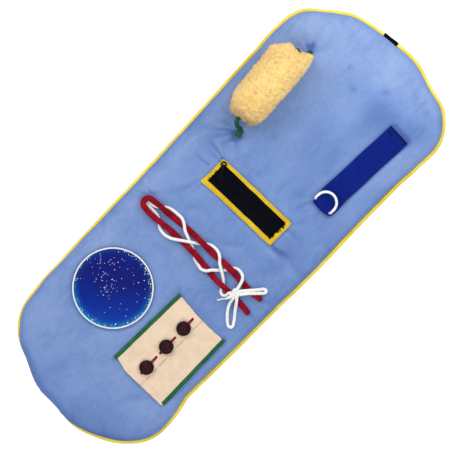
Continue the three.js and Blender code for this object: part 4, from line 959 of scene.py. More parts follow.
zip_enamel, shader, rubbed = grained(
    "zip_enamel", (14, 14, 20), 0.42, "TexNoise", [(0.35, (3, 3, 6)), (0.75, (15, 15, 22))], (0.15, 0.0002),
    gloss=0.06, Scale=420, Detail=4)
feed(zip_enamel, ranged(zip_enamel, rubbed, 0, 1, 0.28, 0.5), shader.inputs["Roughness"])
bpy.ops.mesh.primitive_cube_add(size=1, location=(0, 0, 0))
tooth = bpy.context.object
TOOTH_END = 1.5 * MM
bpy.ops.transform.resize(value=(3.9 * MM, 1.05 * MM, 1.5 * MM))
bpy.ops.object.transform_apply(location=True, rotation=True, scale=True)
bpy.ops.object.mode_set(mode="EDIT")
bpy.ops.mesh.select_all(action="SELECT")
bpy.ops.mesh.subdivide(number_cuts=2)
bpy.ops.object.mode_set(mode="OBJECT")
for vertex in tooth.data.vertices:
    if vertex.co.x < -TOOTH_END:
        vertex.co.y *= 1.45
        vertex.co.z *= 0.86
    elif vertex.co.x > TOOTH_END:
        vertex.co.y *= 1.2
        vertex.co.z *= 1.1
    elif vertex.co.x < 0:
        vertex.co.y *= 0.85
modified(tooth, "BEVEL", width=0.00016, segments=1)
CHAIN_START, CHAIN_LENGTH, CHAIN_PITCH = -59, 120, 3
for side, word in SIDES:
    teeth = []
    turn = Matrix.Rotation(math.pi if side < 0 else 0, 4, "Z")
    y = CHAIN_START + CHAIN_PITCH * (1 if side < 0 else 1.5)
    while y < CHAIN_START + CHAIN_LENGTH:
        copy = tooth.copy()
        copy.data = tooth.data.copy()
        place = Vector(((chain_middle[0] + side) * MM, (chain_middle[1] + y) * MM, (SEAT + 1.55) * MM))
        copy.data.transform(Matrix.Translation(place) @ turn)
        scene.collection.objects.link(copy)
        teeth.append(copy)
        y += CHAIN_PITCH
    chain = joined(teeth, "zip_teeth_" + word)
    bpy.ops.object.shade_smooth_by_angle(angle=math.radians(35))
    chain.select_set(False)
    dressed(chain, "pad", "zip_metal", finish=zip_enamel)
bpy.data.objects.remove(tooth)

# Frayed threads of the tapes, which stick out over the frame at both short ends, most of them at the lower right.
chance = random.Random(7)
loose = []
for end, low_x, high_x, count, longest in ((1, -16, 14, 26, 5.0), (-1, -16.5, 16, 34, 5.5), (-1, 0, 15.5, 34, 8.0)):
    for _ in range(count):
        x = window_middle[0] + chance.uniform(low_x, high_x)
        y = window_middle[1] + end * chance.uniform(61.5, 64)
        dx, dy = chance.uniform(-2.2, 2.2), end * chance.uniform(2.5, longest)
        tip = SEAT + chance.uniform(2.6, 3.5)
        path = [(x, y, SEAT + 1.4), (x + dx * 0.3, y + dy * 0.5, tip), (x + dx, y + dy, tip - 0.2)]
        loose.append(swept(f"fray_{len(loose)}", smooth_line(path, 0.6), 5, rod(0.38, 0.3)))
frayed = joined(loose, "zip_frayed_ends")
frayed.select_set(False)
dressed(frayed, "pad", "zip_black", finish=zip_black)

# The slider, its ring pull and the three stops keep their CAD shapes, in the same black enamel.
for name in ("zip_slider", "zip_pull", "zip_bottom_stop", "zip_top_stop_left", "zip_top_stop_right"):
    coated(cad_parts[name], zip_enamel)


# Pull strap: navy webbing, 39 mm wide, sewn to the pad at its right end and folded back round the bar of a white
# ring. The fold is drawn together to fit the ring, and two rows of stitches hold the return.
STRAP_PLACE = np.array([125, -87.5])
STRAP_TURN = math.radians(-3.7)
STRAP_LENGTH = 162.8
STRAP_WIDTH = 39
STRAP_THICKNESS = 1.8
RING_WIRE = 2.35
RING_REACH = 16.65
RING_LEGS = 8
RING_TILT = math.radians(13)
BAR_HEIGHT = GAP + RING_WIRE + GAP + STRAP_THICKNESS
along_strap = np.array([math.cos(STRAP_TURN), math.sin(STRAP_TURN)])
across_strap = np.array([-along_strap[1], along_strap[0]])


def smoothed(share):
    """A share from 0 to 1 that starts and stops softly."""
    return 0.5 - 0.5 * np.cos(math.pi * np.clip(share, 0, 1))


def on_strap(along, across, height):
    """A point in the pad's frame from the strap's own length, width and height above the seat."""
    x, y = STRAP_PLACE + along * along_strap + across * across_strap
    return (x, y, SEAT + height)


low = GAP + STRAP_THICKNESS / 2
high = low + STRAP_THICKNESS + GAP
fold = RING_WIRE + GAP + STRAP_THICKNESS / 2
FOLDED, UNDER, ROUND = 34, 17, 13
route = [(FOLDED - i * 2, low) for i in range(UNDER)]
route += [(-fold * math.sin(a), BAR_HEIGHT - fold * math.cos(a)) for a in np.linspace(0, math.pi, ROUND)]
crest = BAR_HEIGHT + fold
route += [(s, crest - (crest - high) * smoothed(s / 13)) for s in np.arange(2, 33, 2)]
route += [(s, high - (high - low) * smoothed((s - 33) / 9)) for s in np.arange(FOLDED, 44, 1)]
route += [(s, low) for s in np.arange(45, 163, 1.5)] + [(STRAP_LENGTH, low)]
rows = []
for i, (s, height) in enumerate(route):
    folded = i < UNDER + ROUND
    pinch = 1 - eased(s, 5, 17) ** 0.6
    half, shift = STRAP_WIDTH / 2 - 5.4 * pinch, 0
    if i < UNDER:
        half = STRAP_WIDTH / 2 - 1.5 * max(0, 1 - s / 8)
        shift = -2.2 * min(1, (FOLDED - s) / 20)
    elif folded:
        turned = (i - UNDER) / (ROUND - 1)
        half = STRAP_WIDTH / 2 - 1.5 - 3.9 * turned ** 1.5
        shift = -2.2 * (1 - turned)
    row = []
    for share in np.linspace(-1, 1, 41):
        slack = 1.7 - 0.8 * eased(-share, 0.3, 0.9) - 0.3 * max(share, 0) ** 6
        curl = 0.9 * pinch * share ** 4 * (0.3 if folded else 1)
        edge_roll = -0.12 * (abs(share) > 0.94)
        sway = 0.18 * math.sin(s / 19) * (s > 45) + 0.12 * math.sin(s / 7 + 3 * share) * (s > 45) * (s < 150)
        row.append(on_strap(s * (slack if s < 0 else 1), half * share + shift + 0.25 * math.sin(s / 13),
                            height + curl + edge_roll + max(sway, -0.05)))
    rows.append(row)
strap = layered(grid_mesh("strap_webbing", rows), 1.5, 0.25)
webbing, shader = material("strap_webbing", (24, 42, 134), 0.6, sheen=0.02, gloss=0.05)
uv = node(webbing, "UVMap", uv_map="along").outputs[0]
ribs = node(webbing, "Mapping", ("Vector", uv), Scale=(1, 0.039, 1)).outputs[0]
weft = node(webbing, "TexWave", ("Vector", ribs), Scale=150, Distortion=0.5, Detail=1, bands_direction="X")
warp = node(webbing, "TexWave", ("Vector", ribs), Scale=210, Distortion=0.4, Detail=1, bands_direction="Y")
weave = math_of(webbing, "MULTIPLY", weft.outputs["Fac"], warp.outputs["Fac"])
place = node(webbing, "TexCoord").outputs["Object"]
cloud = node(webbing, "TexNoise", ("Vector", place), Scale=60, Detail=4).outputs[0]
blue = ramp(webbing, cloud, [(0.35, (10, 32, 127)), (0.65, (13, 37, 136))])
across = node(webbing, "SeparateXYZ", ("Vector", uv)).outputs["Y"]
border = math_of(webbing, "ABSOLUTE", math_of(webbing, "SUBTRACT", across, 0.5))
selvage = ramp(webbing, border, [(0.44, (0, 0, 0)), (0.475, (160, 160, 160)), (0.5, (70, 70, 70))])
edged = mix(webbing, selvage, blue, linear(34, 58, 160))
ribbed = ramp(webbing, weave, [(0, (150, 150, 160)), (0.6, (255, 255, 255))])
feed(webbing, mix(webbing, 0.5, edged, ribbed, "MULTIPLY"), shader.inputs["Base Color"])
bumped(webbing, shader, weave, 0.5, 0.0004)
dressed(strap, "strap", "webbing", "strap", "strap_sewn_end", finish=webbing)
strap.parent = None
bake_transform(strap)

# Rows of dark thread: a double one across the sewn end, laid wide to stand for the shadow in the groove there as
# painted shade, short ones that lock it at the edges further in, and the rows that close the fold behind the ring.
navy_thread = sewing_thread("navy_thread", (5, 9, 40))
top = 2 * low - GAP
sewn = [(on_strap(s, -17.8, top), on_strap(s, 17.8, top)) for s in (160.3, 161.6)]
sewn += [(on_strap(s, 6.5, top), on_strap(s + 0.8, 17.6, top)) for s in (152.8, 153.9)]
sewn += [(on_strap(155.8, -17.6, top), on_strap(156.4, -12.6, top))]
dressed(stitches("strap_end_stitches", sewn, 2.5, 2.3, 1.15, 0.12), "pad", "webbing", finish=navy_thread)
closing = [(on_strap(s, -16.5, high + 0.85), on_strap(s, 16.5, high + 0.85)) for s in (26, 30)]
dressed(stitches("strap_fold_stitches", closing, 2.6, 2.0, 0.55, 0.05), "strap", "webbing", finish=navy_thread)

# Ring: a moulded white D-ring, round in section, with its bar inside the fold of the strap.
RING_CORNER = 3.2
straight = RING_REACH - RING_CORNER
bends = np.linspace(0, math.pi / 2, 7)
ring_line = [(0, y) for y in np.linspace(-straight, straight, 12)]
ring_line += [(RING_CORNER * (1 - math.cos(a)), straight + RING_CORNER * math.sin(a)) for a in bends[1:]]
ring_line += [(RING_LEGS + RING_REACH * math.sin(a), RING_REACH * math.cos(a)) for a in np.linspace(0, math.pi, 45)]
ring_line += [(RING_CORNER * (1 - math.sin(a)), -straight - RING_CORNER * math.cos(a)) for a in bends[:-1]]
placed_line = [on_strap(x * math.cos(RING_TILT), y, BAR_HEIGHT + x * math.sin(RING_TILT)) for x, y in ring_line]
moulded = swept("d_ring_moulded", placed_line, 22, rod(2.15, 2.15), loop=True)
ring_white, shader, scuffs = grained(
    "ring_nylon", (244, 244, 240), 0.32, "TexNoise", [(0.3, (232, 232, 228)), (0.6, (248, 248, 245))], (0.05, 0.0003),
    Scale=180, Detail=5)
feed(ring_white, ranged(ring_white, scuffs, 0, 1, 0.25, 0.42), shader.inputs["Roughness"])
dressed(moulded, "ring", "ring_white", "d_ring", finish=ring_white)


# Fleece roll: a sleeve of curly cream fleece round a soft core, 148 mm long and 66 mm thick, with its ends
# gathered and ruffled round a green cord. It turns on the cord, which is sewn to the pad at both ends. At the right
# end the sleeve is cut short on one side, and laps over the cord on the other.
ROLL_PLACE = np.array([208, 105.6])
ROLL_TURN = math.radians(3.9)
ROLL_RADIUS = 33
along_roll = np.array([math.cos(ROLL_TURN), math.sin(ROLL_TURN)])
across_roll = np.array([-along_roll[1], along_roll[0]])


def on_roll(along, across, height):
    """A point in the pad's frame from the roll's own length and width and the height above the seat."""
    x, y = ROLL_PLACE + along * along_roll + across * across_roll
    return (x, y, SEAT + height)


ROLL_AXIS = GAP + ROLL_RADIUS
profile = [(0, 57), (4, 57.5), (7.5, 60), (11, 65.5), (15, 69.5), (19, 70.8), (23.5, 69), (27.6, 64.8), (30.6, 58.5),
           (32.1, 49), (32.3, 36), (32, 22), (32, 10), (32, 0)]
profile += [(radius, -along) for radius, along in profile[-2::-1]]
profile = smooth_line([(along, radius, 0) for radius, along in profile], 1.1)


def lobe(angle, middle, power=1.3):
    """A broad bump round the roll, 1 at the middle angle and 0 on the far side."""
    return max(math.cos(angle - middle), 0) ** power


right_cut = [(-30, 1.35), (-27, 1.2), (-24, 1.0), (-20, 0.86), (-16, 0.73), (-12, 0.65), (-6, 0.54), (8, 0.56),
             (16, 0.58), (20, 0.48), (34, 0.4)]
rows = []
for along, radius, _ in profile:
    end = eased(abs(along), 60, 74)
    full = np.interp(along, (-45, -10, 22, 50, 64, 74), (0, 2.2, 3.1, 3.2, 2, 1))
    outer = eased(radius, 9, 18) * eased(abs(along), 54, 64)
    row = []
    for k in range(200):
        angle = 2 * math.pi * k / 200
        flute = math.cos(9 * angle + 0.8 * math.sin(3 * angle)) * min(radius / 14, 1) * end
        uneven = 0.02 * math.sin(3 * angle + along / 23) + 0.012 * math.sin(5 * angle - along / 11)
        reach = max(radius, 0) * (1 + uneven) - 1.1 * flute * end
        reach += full * min(radius / 20, 1) * lobe(angle, math.pi, 1.2)
        ruffle = outer * (1.3 * math.sin(4 * angle + 1.3 * math.copysign(1, along)) + 1.0 * math.sin(7 * angle))
        if along > 0:
            reach *= 1 - 0.4 * eased(along, 42, 66) ** 1.2 * lobe(angle, 0, 0.8)
            ruffle += outer * (7 * lobe(angle, math.pi, 1.5) - 6 * lobe(angle, 4.3, 1.5) - 4.6)
        else:
            reach *= 1 - 0.2 * eased(-along, 46, 66) * lobe(angle, 0)
            ruffle += outer * 5 * lobe(angle, 1.0)
            gather = along + 55.5 + 7 * math.cos(angle) ** 2
            puckers = (1.5 + 1.1 * math.sin(11 * angle)) * spread(gather + 6, 3.5)
            reach += (puckers - 3 * spread(gather, 2.4)) * lobe(angle, math.pi / 2, 0.5)
        out = along + math.copysign(1.4 * flute * (radius < 30) + ruffle, along) * (1 if along else 0)
        if out > 50:
            out = 50 + (out - 50) * np.interp(reach * math.cos(angle), *zip(*right_cut))
        row.append(on_roll(out, reach * math.cos(angle), ROLL_AXIS + reach * math.sin(angle)))
    rows.append(row)
fleece = grid_mesh("roll_fleece_curls", rows, around=True, ends=True)
for name, kind, size, strength in (("tufts", "VORONOI", 0.0085, -0.0022), ("locks", "CLOUDS", 0.005, 0.0026),
                                   ("curls", "VORONOI", 0.003, -0.0012)):
    curl = bpy.data.textures.new(name, kind)
    curl.noise_scale = size
    if kind == "CLOUDS":
        curl.noise_depth = 2
        curl.noise_type = "HARD_NOISE"
    modified(fleece, "DISPLACE", texture=curl, texture_coords="LOCAL", strength=strength, mid_level=0.45)
fleece_cream, shader = material("fleece_pile", (253, 214, 142), 0.95, sheen=0.7)
shader.inputs["Sheen Tint"].default_value = linear(255, 240, 205)
shader.inputs["Sheen Roughness"].default_value = 0.6
shader.inputs["Subsurface Weight"].default_value = 0.12
shader.inputs["Subsurface Radius"].default_value = (0.006, 0.004, 0.002)
place = node(fleece_cream, "TexCoord").outputs["Object"]
tuft = node(fleece_cream, "TexVoronoi", ("Vector", place), Scale=210)
lock = node(fleece_cream, "TexNoise", ("Vector", place), Scale=330, Detail=5, Roughness=0.7, Distortion=1.4)
hair = node(fleece_cream, "TexNoise", ("Vector", place), Scale=1500, Detail=3, Distortion=2)
broad = node(fleece_cream, "TexNoise", ("Vector", place), Scale=26, Detail=3)
# The darker stop of the locks' tone lies in the low parts of their bump: partly the fleece's own tone, partly painted
# shade between the locks.
tone = ramp(fleece_cream, lock.outputs[0], [(0.3, (226, 184, 110)), (0.45, (249, 210, 128)), (0.68, (255, 225, 150))])
wash = ramp(fleece_cream, broad.outputs[0], [(0.3, (238, 230, 222)), (0.65, (255, 255, 255))])
washed = mix(fleece_cream, 0.7, tone, wash, "MULTIPLY")


def toward(made, place, way):
    """How far points lie along a direction, times its length."""
    new = node(made, "VectorMath", (0, place), operation="DOT_PRODUCT")
    new.inputs[1].default_value = way
    return new.outputs["Value"]


# Painted shade: the gathered left end of the sleeve is darkened for the shadow among its ruffles.
to_left = toward(fleece_cream, place, (-math.cos(ROLL_TURN), -math.sin(ROLL_TURN), 0))
gathered = ranged(fleece_cream, to_left, -0.159, -0.147, high=0.9)
end_shaded = mix(fleece_cream, gathered, washed, linear(204, 198, 222), "MULTIPLY")
feed(fleece_cream, end_shaded, shader.inputs["Base Color"])
bumped(fleece_cream, shader, tuft.outputs["Distance"], -0.3, 0.0014)
bumped(fleece_cream, shader, lock.outputs[0], 0.4, 0.001)
bumped(fleece_cream, shader, hair.outputs[0], 0.5, 0.0005)
dressed(fleece, "roll", "fleece", "roll_fleece", finish=fleece_cream)

# Short curled wisps of pile stand off the sleeve all over and make its outline fuzzy.
WISPS = 5200
chance = random.Random(23)
roots = [(vertex.co / MM, vertex.normal.copy()) for vertex in fleece.data.vertices]
verts, faces = [], []
for _ in range(WISPS):
    root, out = chance.choice(roots)
    lean = Matrix.Rotation(chance.uniform(0, 2 * math.pi), 3, out) @ out.orthogonal().normalized()
    other = out.cross(lean)
    long = chance.uniform(1.1, 2.1)
    curl = chance.uniform(-0.6, 0.6)
    first = len(verts)
    for rise, drift, bend, thick in ((-0.3, 0, 0, 0.42), (0.45, 0.25, 0.1, 0.36), (0.68, 0.75, 0.5, 0.26)):
        middle = root + long * (rise * out + drift * lean + bend * curl * other)
        for k in range(3):
            a = k * 2 * math.pi / 3
            verts.append(tuple((middle + thick * (math.cos(a) * other + math.sin(a) * (out - lean) * 0.7)) * MM))
    verts.append(tuple((root + long * (0.6 * out + 1.1 * lean + curl * other)) * MM))
    for row in (0, 3):
        for k in range(3):
            n = (k + 1) % 3
            faces.append((first + row + k, first + row + n, first + row + 3 + n, first + row + 3 + k))
    faces += [(first + 6 + k, first + 6 + (k + 1) % 3, first + 9) for k in range(3)]
wisps = mesh_object("roll_fleece_wisps", verts, faces)
wisps.data.shade_smooth()
dressed(wisps, "roll", "fleece", finish=fleece_cream)

# The soft core is a plug of foam with a hole for the cord, hidden inside the sleeve.
core_profile = [(50, 5), (52, 12), (50, 20), (40, 23), (0, 23.6), (-40, 23), (-50, 20), (-52, 12), (-50, 5), (0, 4.8)]
spots = [2 * math.pi * k / 40 for k in range(40)]
core_rows = [[on_roll(along, radius * math.cos(a), ROLL_AXIS + radius * math.sin(a)) for a in spots]
             for along, radius in core_profile]
roll_core = grid_mesh("roll_core_foam", core_rows, around=True, loop=True)
core_foam = grained("core_foam", (238, 234, 222), 0.95, "TexVoronoi", [(0.1, (206, 200, 184)), (0.6, (240, 236, 226))],
                    (0.4, 0.0006), output="Distance", Scale=600)[0]
dressed(roll_core, "roll", "ring_white", "roll_core", finish=core_foam)

# The green cord: a soft flat twill tape rolled into a cord, 8 mm thick, that runs through the roll and bends down
# to a sewn tab at each end.
roll_cord_points = [(-95.5, -15.8, 4.9), (-91, -16.4, 5.1), (-87.6, -16.2, 6.2), (-85.8, -13.6, 10.5),
                    (-85.6, -9.8, 17), (-84.2, -5.6, 24), (-80.5, -2, 30),
                    *((along, 0, ROLL_AXIS) for along in (-72, -40, 0, 40, 54)),
                    (60, -0.8, 32), (64.2, -3.6, 28), (63.4, -8.4, 21.5),
                    (63.8, -13, 14), (67.8, -18, 7.5), (72.8, -20.6, 5.2)]
cord_line = smooth_line([on_roll(*point) for point in roll_cord_points], 0.8)


def rolled_tape(along, angle):
    """The section of the cord, with a slowly turning groove where the tape's edge lies."""
    twist = angle + 0.035 * along
    reach = 3.55 - 0.55 * np.abs(np.sin(1.5 * twist)) ** 4 + 0.12 * np.sin(2.1 * along + 3 * angle)
    reach = reach + 0.18 * np.sin(along * 0.55 + 2 * angle)
    return 1.02 * reach * np.cos(angle), 0.86 * reach * np.sin(angle)


roll_cord = swept("roll_cord_tape", cord_line, 30, rolled_tape)
cord_green = cotton("green_twill", (44, 106, 73), (24, 76, 51), thread=1500, roughness=0.8, sheen=0.04, weave=0.6)
dressed(roll_cord, "pad", "green_fabric", "roll_cord", finish=cord_green)


def swung(middle, dx, dy, turn):
    """The place at an offset from a middle, where the offset turns with its piece."""
    return (middle[0] + dx * math.cos(turn) - dy * math.sin(turn),
            middle[1] + dx * math.sin(turn) + dy * math.cos(turn))


for word, middle, turn, half in (("left", (-91.2, -16.2), 0.08, (6.6, 4.7)),
                                 ("right", (74.4, -20.8), -math.pi / 5, (4.3, 3.6))):
    rows = []
    for u in np.linspace(-1, 1, 30):
        row = []
        for v in np.linspace(-1, 1, 18):
            spot = swung(middle, half[0] * u * (1 - 0.10 * v * v), half[1] * v * (1 - 0.14 * u * u), turn)
            swell = 1.1 * (1 - u * u) * (1 - v * v) + 0.5 * spread(v * 3 - u, 1) * (1 - u ** 4)
            row.append(on_roll(*spot, GAP + 0.7 + swell + 0.15 * math.sin(9 * u + 4 * v)))
        rows.append(row)
    patch = layered(grid_mesh(f"roll_cord_patch_{word}", rows), 1.1, 0.3)
    dressed(patch, "pad", "green_fabric", f"roll_cord_tab_{word}", finish=cord_green)


# Gel disc: 127 mm across. Two clear films are welded at the rim and hold deep blue gel with glitter in it. The gel
# is thinner, and so brighter, along its rim, and a white welt covers the weld.
DISC_PLACE = (-190.9, 59.5)
GEL_RADIUS = 61.2
GEL_FLOOR = 1.5


def lathed(name, profile, middle, segments, angle=40):
    """A shape turned about an upright axis, from a profile of (radius, height) in millimetres, by a spin."""
    points = [((middle[0] + radius) * MM, middle[1] * MM, (SEAT + height) * MM) for radius, height in profile]
    made = mesh_object(name, points, [], [(i, i + 1) for i in range(len(points) - 1)])
    chosen(made)
    bpy.ops.object.mode_set(mode="EDIT")
    bpy.ops.mesh.select_all(action="SELECT")
    bpy.ops.mesh.spin(steps=segments, angle=2 * math.pi, center=(middle[0] * MM, middle[1] * MM, 0), axis=(0, 0, 1))
    bpy.ops.object.mode_set(mode="OBJECT")
    faced_out(made, weld=0.00001)
    bpy.ops.object.shade_smooth_by_angle(angle=math.radians(angle))
    made.select_set(False)
    return made


def gel_height(share):
    """The height of the gel's dome at a share of its radius."""
    return 2.6 + 5.0 * max(1 - share ** 2, 0) ** 0.6


gel_profile = [(0, GEL_FLOOR), (GEL_RADIUS, GEL_FLOOR)]
gel_profile += [(GEL_RADIUS * s, gel_height(s)) for s in 1 - np.linspace(0, 1, 40) ** 1.7]
gel = lathed("gel_dome", gel_profile, DISC_PLACE, 128)
gel_blue, shader = material("blue_gel", (25, 35, 116), 0.14, gloss=0.05)
place = node(gel_blue, "TexCoord").outputs["Object"]
flat = node(gel_blue, "Mapping", ("Vector", place), Location=(-DISC_PLACE[0] * MM, -DISC_PLACE[1] * MM, 0),
            Scale=(1, 1, 0)).outputs[0]
from_middle = node(gel_blue, "VectorMath", (0, flat), operation="LENGTH").outputs["Value"]
curve = math_of(gel_blue, "POWER", ranged(gel_blue, from_middle, 0.047, 0.0608), 2.8)
# The gel is lighter blue towards the lower left, and its rim is brightest there.
to_lower_left = toward(gel_blue, flat, (-10.5, -8.5, 0))
rim_share_lower_left = ranged(gel_blue, to_lower_left, -0.2, 0.8, 0.13)
share_lower_left = ranged(gel_blue, to_lower_left, -0.1, 0.72, 0.02)
swirl = node(gel_blue, "TexNoise", ("Vector", place), Scale=30, Detail=3, Distortion=1.2).outputs[0]
deep = ramp(gel_blue, swirl, [(0.3, (22, 25, 100)), (0.55, (18, 27, 114)), (0.75, (13, 36, 130))])
blue = mix(gel_blue, share_lower_left, deep, linear(6, 54, 160))
bright = mix(gel_blue, math_of(gel_blue, "MULTIPLY", curve, rim_share_lower_left), blue, linear(20, 150, 206))
feed(gel_blue, bright, shader.inputs["Base Color"])
bumped(gel_blue, shader, swirl, 0.12, 0.002)
dressed(gel, "pad", "gel", "disc_gel", "disc_front_film", finish=gel_blue)

# Glitter: small six-sided foil flakes that lie in the gel just under the film, most of them near its rim.
chance = random.Random(11)
foils = {"silver": (206, 216, 236), "gold": (220, 204, 140), "red": (170, 50, 60), "green": (60, 150, 110),
         "dark": (8, 8, 22)}
flake_lists = {name: ([], []) for name in foils}
for i in range(245):
    kind = chance.choices(list(foils), weights=(60, 24, 8, 6, 2))[0]
    angle = chance.uniform(0, 2 * math.pi)
    size = chance.uniform(0.55, 0.85)
    if i < 145:
        reach = 60.2 - abs(chance.gauss(0, 2.2))
        if i % 3:
            kind = chance.choices(list(foils), weights=(17, 13, 9, 9, 60))[0]
            angle = chance.uniform(-math.pi, 0.35)
            size *= 1.1
    elif i < 182:
        size *= 0.9
        reach = 55 * math.sqrt(chance.uniform(0, 1))
    elif i < 225:
        size *= 0.9
        reach = 50 * math.sqrt(chance.uniform(0, 1))
        angle = chance.gauss(0.76, 0.8)
    else:
        reach = abs(chance.gauss(10, 9))
    share = reach / GEL_RADIUS
    slope = (gel_height(min(share + 0.01, 1)) - gel_height(max(share - 0.01, 0))) / (GEL_RADIUS * 0.02)
    spot = Vector((reach * math.cos(angle), reach * math.sin(angle), gel_height(share) + 0.06))
    lean = Vector((-slope * math.cos(angle), -slope * math.sin(angle), 1)).normalized()
    side = lean.orthogonal().normalized()
    other = lean.cross(side)
    spin = chance.uniform(0, 1)
    verts, faces = flake_lists[kind]
    first = len(verts)
    for height in (-0.04, 0.04):
        for k in range(6):
            a = spin + k * math.pi / 3
            p = spot + size * (side * math.cos(a) + other * math.sin(a)) + lean * height
            verts.append(((DISC_PLACE[0] + p.x) * MM, (DISC_PLACE[1] + p.y) * MM, (SEAT + p.z) * MM))
    faces.append(tuple(first + 6 + k for k in range(6)))
    faces.append(tuple(first + k for k in reversed(range(6))))
    for k in range(6):
        n = (k + 1) % 6
        faces.append((first + k, first + n, first + 6 + n, first + 6 + k))
for kind, (verts, faces) in flake_lists.items():
    metallic, gloss, paler = (0, 0.05, 10) if kind == "dark" else (0.35, 0.3, 35)
    pale = tuple(min(255, part + paler) for part in foils[kind])
    dark = tuple(part * 0.6 for part in foils[kind])
    foil = grained("foil_" + kind, foils[kind], 0.3, "TexNoise", [(0.35, dark), (0.6, pale)], (0.2, 0.0003),
                   metallic=metallic, gloss=gloss, Scale=90, Detail=2)[0]
    dressed(mesh_object("glitter_" + kind, verts, faces), "pad", "gel", finish=foil)

# Welt and back film: a white vinyl ring, finely ribbed on its top, covers the weld, and a deep blue film lies under
# the gel.
welt_profile = [(62.1 + 1.2 * math.cos(a), 3.7 + 1.1 * math.sin(a)) for a in np.linspace(0, 2 * math.pi, 21)]
welt = lathed("disc_welt_ring", welt_profile, DISC_PLACE, 160, angle=60)
points = points_of(welt)
around = np.arctan2(points[:, 1] - DISC_PLACE[1], points[:, 0] - DISC_PLACE[0])
points[:, 2] += 0.12 * np.sin(around * 90) * (points[:, 2] > SEAT + 4)
put_points(welt, points)
welt_white = grained("welt_vinyl", (240, 242, 246), 0.38, "TexNoise", [(0.3, (226, 230, 234)), (0.6, (244, 246, 247))],
                     (0.15, 0.0004), Scale=240, Detail=4)[0]
dressed(welt, "pad", "welt", "disc_welt", finish=welt_white)
film_blue = grained("back_film", (20, 40, 120), 0.25, "TexNoise", [(0.3, (14, 28, 96)), (0.7, (28, 56, 150))],
                    (0.1, 0.0004), Scale=60, Detail=3)[0]
coated(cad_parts["disc_back_film"], film_blue)


# Button panel: two flaps of unbleached muslin. The lower one is sewn along the bottom, the upper one along the
# top, and its doubled hem laps over the lower flap. The cloth is creased between the buttons.
PANEL_PLACE = (-198.5, -70)
PANEL_HALF = (72.5, 53.4)
FLAP_THICKNESS = 1
BUTTON_SHARES = [0.52, -0.018, -0.627]
BUTTON_ROW = PANEL_PLACE[1] + 0.13 * PANEL_HALF[1]
LOWER_TOP = 0.37
HEM_SHARE = -0.075
HEM_Y = PANEL_PLACE[1] + HEM_SHARE * PANEL_HALF[1]


def creases(x, y, seed, strength):
    """Crossing sharp creases with soft rolls between them: their height in millimetres, and their dark lines, which
    are painted shade along the creases and a painted shadow under the hem.
    """
    soft = 0.5 * waves(x, y, seed, 34) + 0.3 * waves(x + 2 * waves(x, y, seed + 1, 50), y, seed + 2, 15)
    bent = y + 3 * waves(x, y, seed + 5, 40)
    sharp = np.abs(waves(x, bent, seed + 3, 38)) ** 0.6
    fine = np.abs(waves(x, bent, seed + 4, 19)) ** 0.6
    # Painted shade: dark lines along the creases, most of them near the hem.
    lines = spread(sharp, 0.26) + 0.6 * spread(fine, 0.3)
    lines *= 0.07 + 0.5 * spread(y - PANEL_PLACE[1] + 6, 11) * (0.5 + 0.5 * waves(x, y, seed + 6, 24))
    # Painted shadow: a dark line on the lower flap under the hem's edge.
    hem_shadow = spread(y - PANEL_PLACE[1] + 5.6 + 0.5 * waves(x, 0 * x, seed + 8, 18), 1.1)
    lines = np.maximum(lines, hem_shadow * (0.4 + 0.4 * waves(x, y, seed + 9, 12)))
    return strength * (soft + 1.1 * (1 - np.clip(sharp, 0, 1)) + 0.6 * (1 - np.clip(fine, 0, 1))), lines


def flap(name, left, right, bottom, top, height, seed, strength, sewn):
    """A muslin flap between four edges, flat along its sewn one; left and right are tables of (y share, x share)."""
    rows = []
    for v in np.linspace(0, 1, 110):
        row = []
        for u in np.linspace(0, 1, 150):
            share_x = 2 * u - 1
            y_share = bottom + v * (np.interp(share_x, *zip(*top)) - bottom)
            x_share = (1 - u) * np.interp(y_share, *zip(*left)) + u * np.interp(y_share, *zip(*right))
            row.append((PANEL_PLACE[0] + x_share * PANEL_HALF[0], PANEL_PLACE[1] + y_share * PANEL_HALF[1]))
        rows.append(row)
    grid = np.array(rows)
    x, y = grid[..., 0], grid[..., 1]
    edge_near = np.minimum(np.minimum(x - x.min(1)[:, None], x.max(1)[:, None] - x) / 6, 1)
    from_binding = np.abs(y - PANEL_PLACE[1] - sewn * PANEL_HALF[1])
    lift, lines = creases(x, y, seed, strength)
    from_button = np.min([np.hypot(x - PANEL_PLACE[0] - share * PANEL_HALF[0], y - BUTTON_ROW)
                          for share in BUTTON_SHARES], axis=0)
    lift *= (0.35 + 0.65 * edge_near) * eased(from_binding, 3, 15) * eased(from_button, 11, 16)
    z = SEAT + height(y - PANEL_PLACE[1]) + np.maximum(lift, -0.12)
    jag = 0.35 * waves(y, 0 * y, seed + 7, 9)
    grid[:, 0, 0] += jag[:, 0]
    grid[:, -1, 0] += jag[:, -1]
    cloth = grid_mesh(name, np.concatenate([grid, z[..., None]], axis=2))
    mark_points(cloth, "creased", lines)
    return layered(cloth, 0.8, 0.15)


lower = flap("flap_lower_muslin", [(-0.95, -1), (LOWER_TOP, -1)], [(-0.95, 0.925), (-0.5, 0.91), (LOWER_TOP, 0.93)],
             -0.95, [(-1, LOWER_TOP), (1, LOWER_TOP)], lambda y: 0.85 + 0 * y, 61, 0.7, -0.945)
muslin = cotton("muslin", (247, 221, 191), (236, 208, 178), thread=2600, roughness=0.9, sheen=0.15, weave=0.2,
                wrinkled=0.15)
# Painted shade: the muslin is darkened along the flaps' crease lines and under the hem.
base = muslin.node_tree.nodes["Principled BSDF"].inputs["Base Color"]
creased = node(muslin, "Attribute", attribute_name="creased").outputs["Fac"]
crease_shade_lines = ramp(muslin, creased, [(0.1, (255, 255, 255)), (0.9, (196, 180, 166))])
feed(muslin, mix(muslin, 0.8, base.links[0].from_socket, crease_shade_lines, "MULTIPLY"), base)
dressed(lower, "pad", "muslin", "flap_lower", finish=muslin)


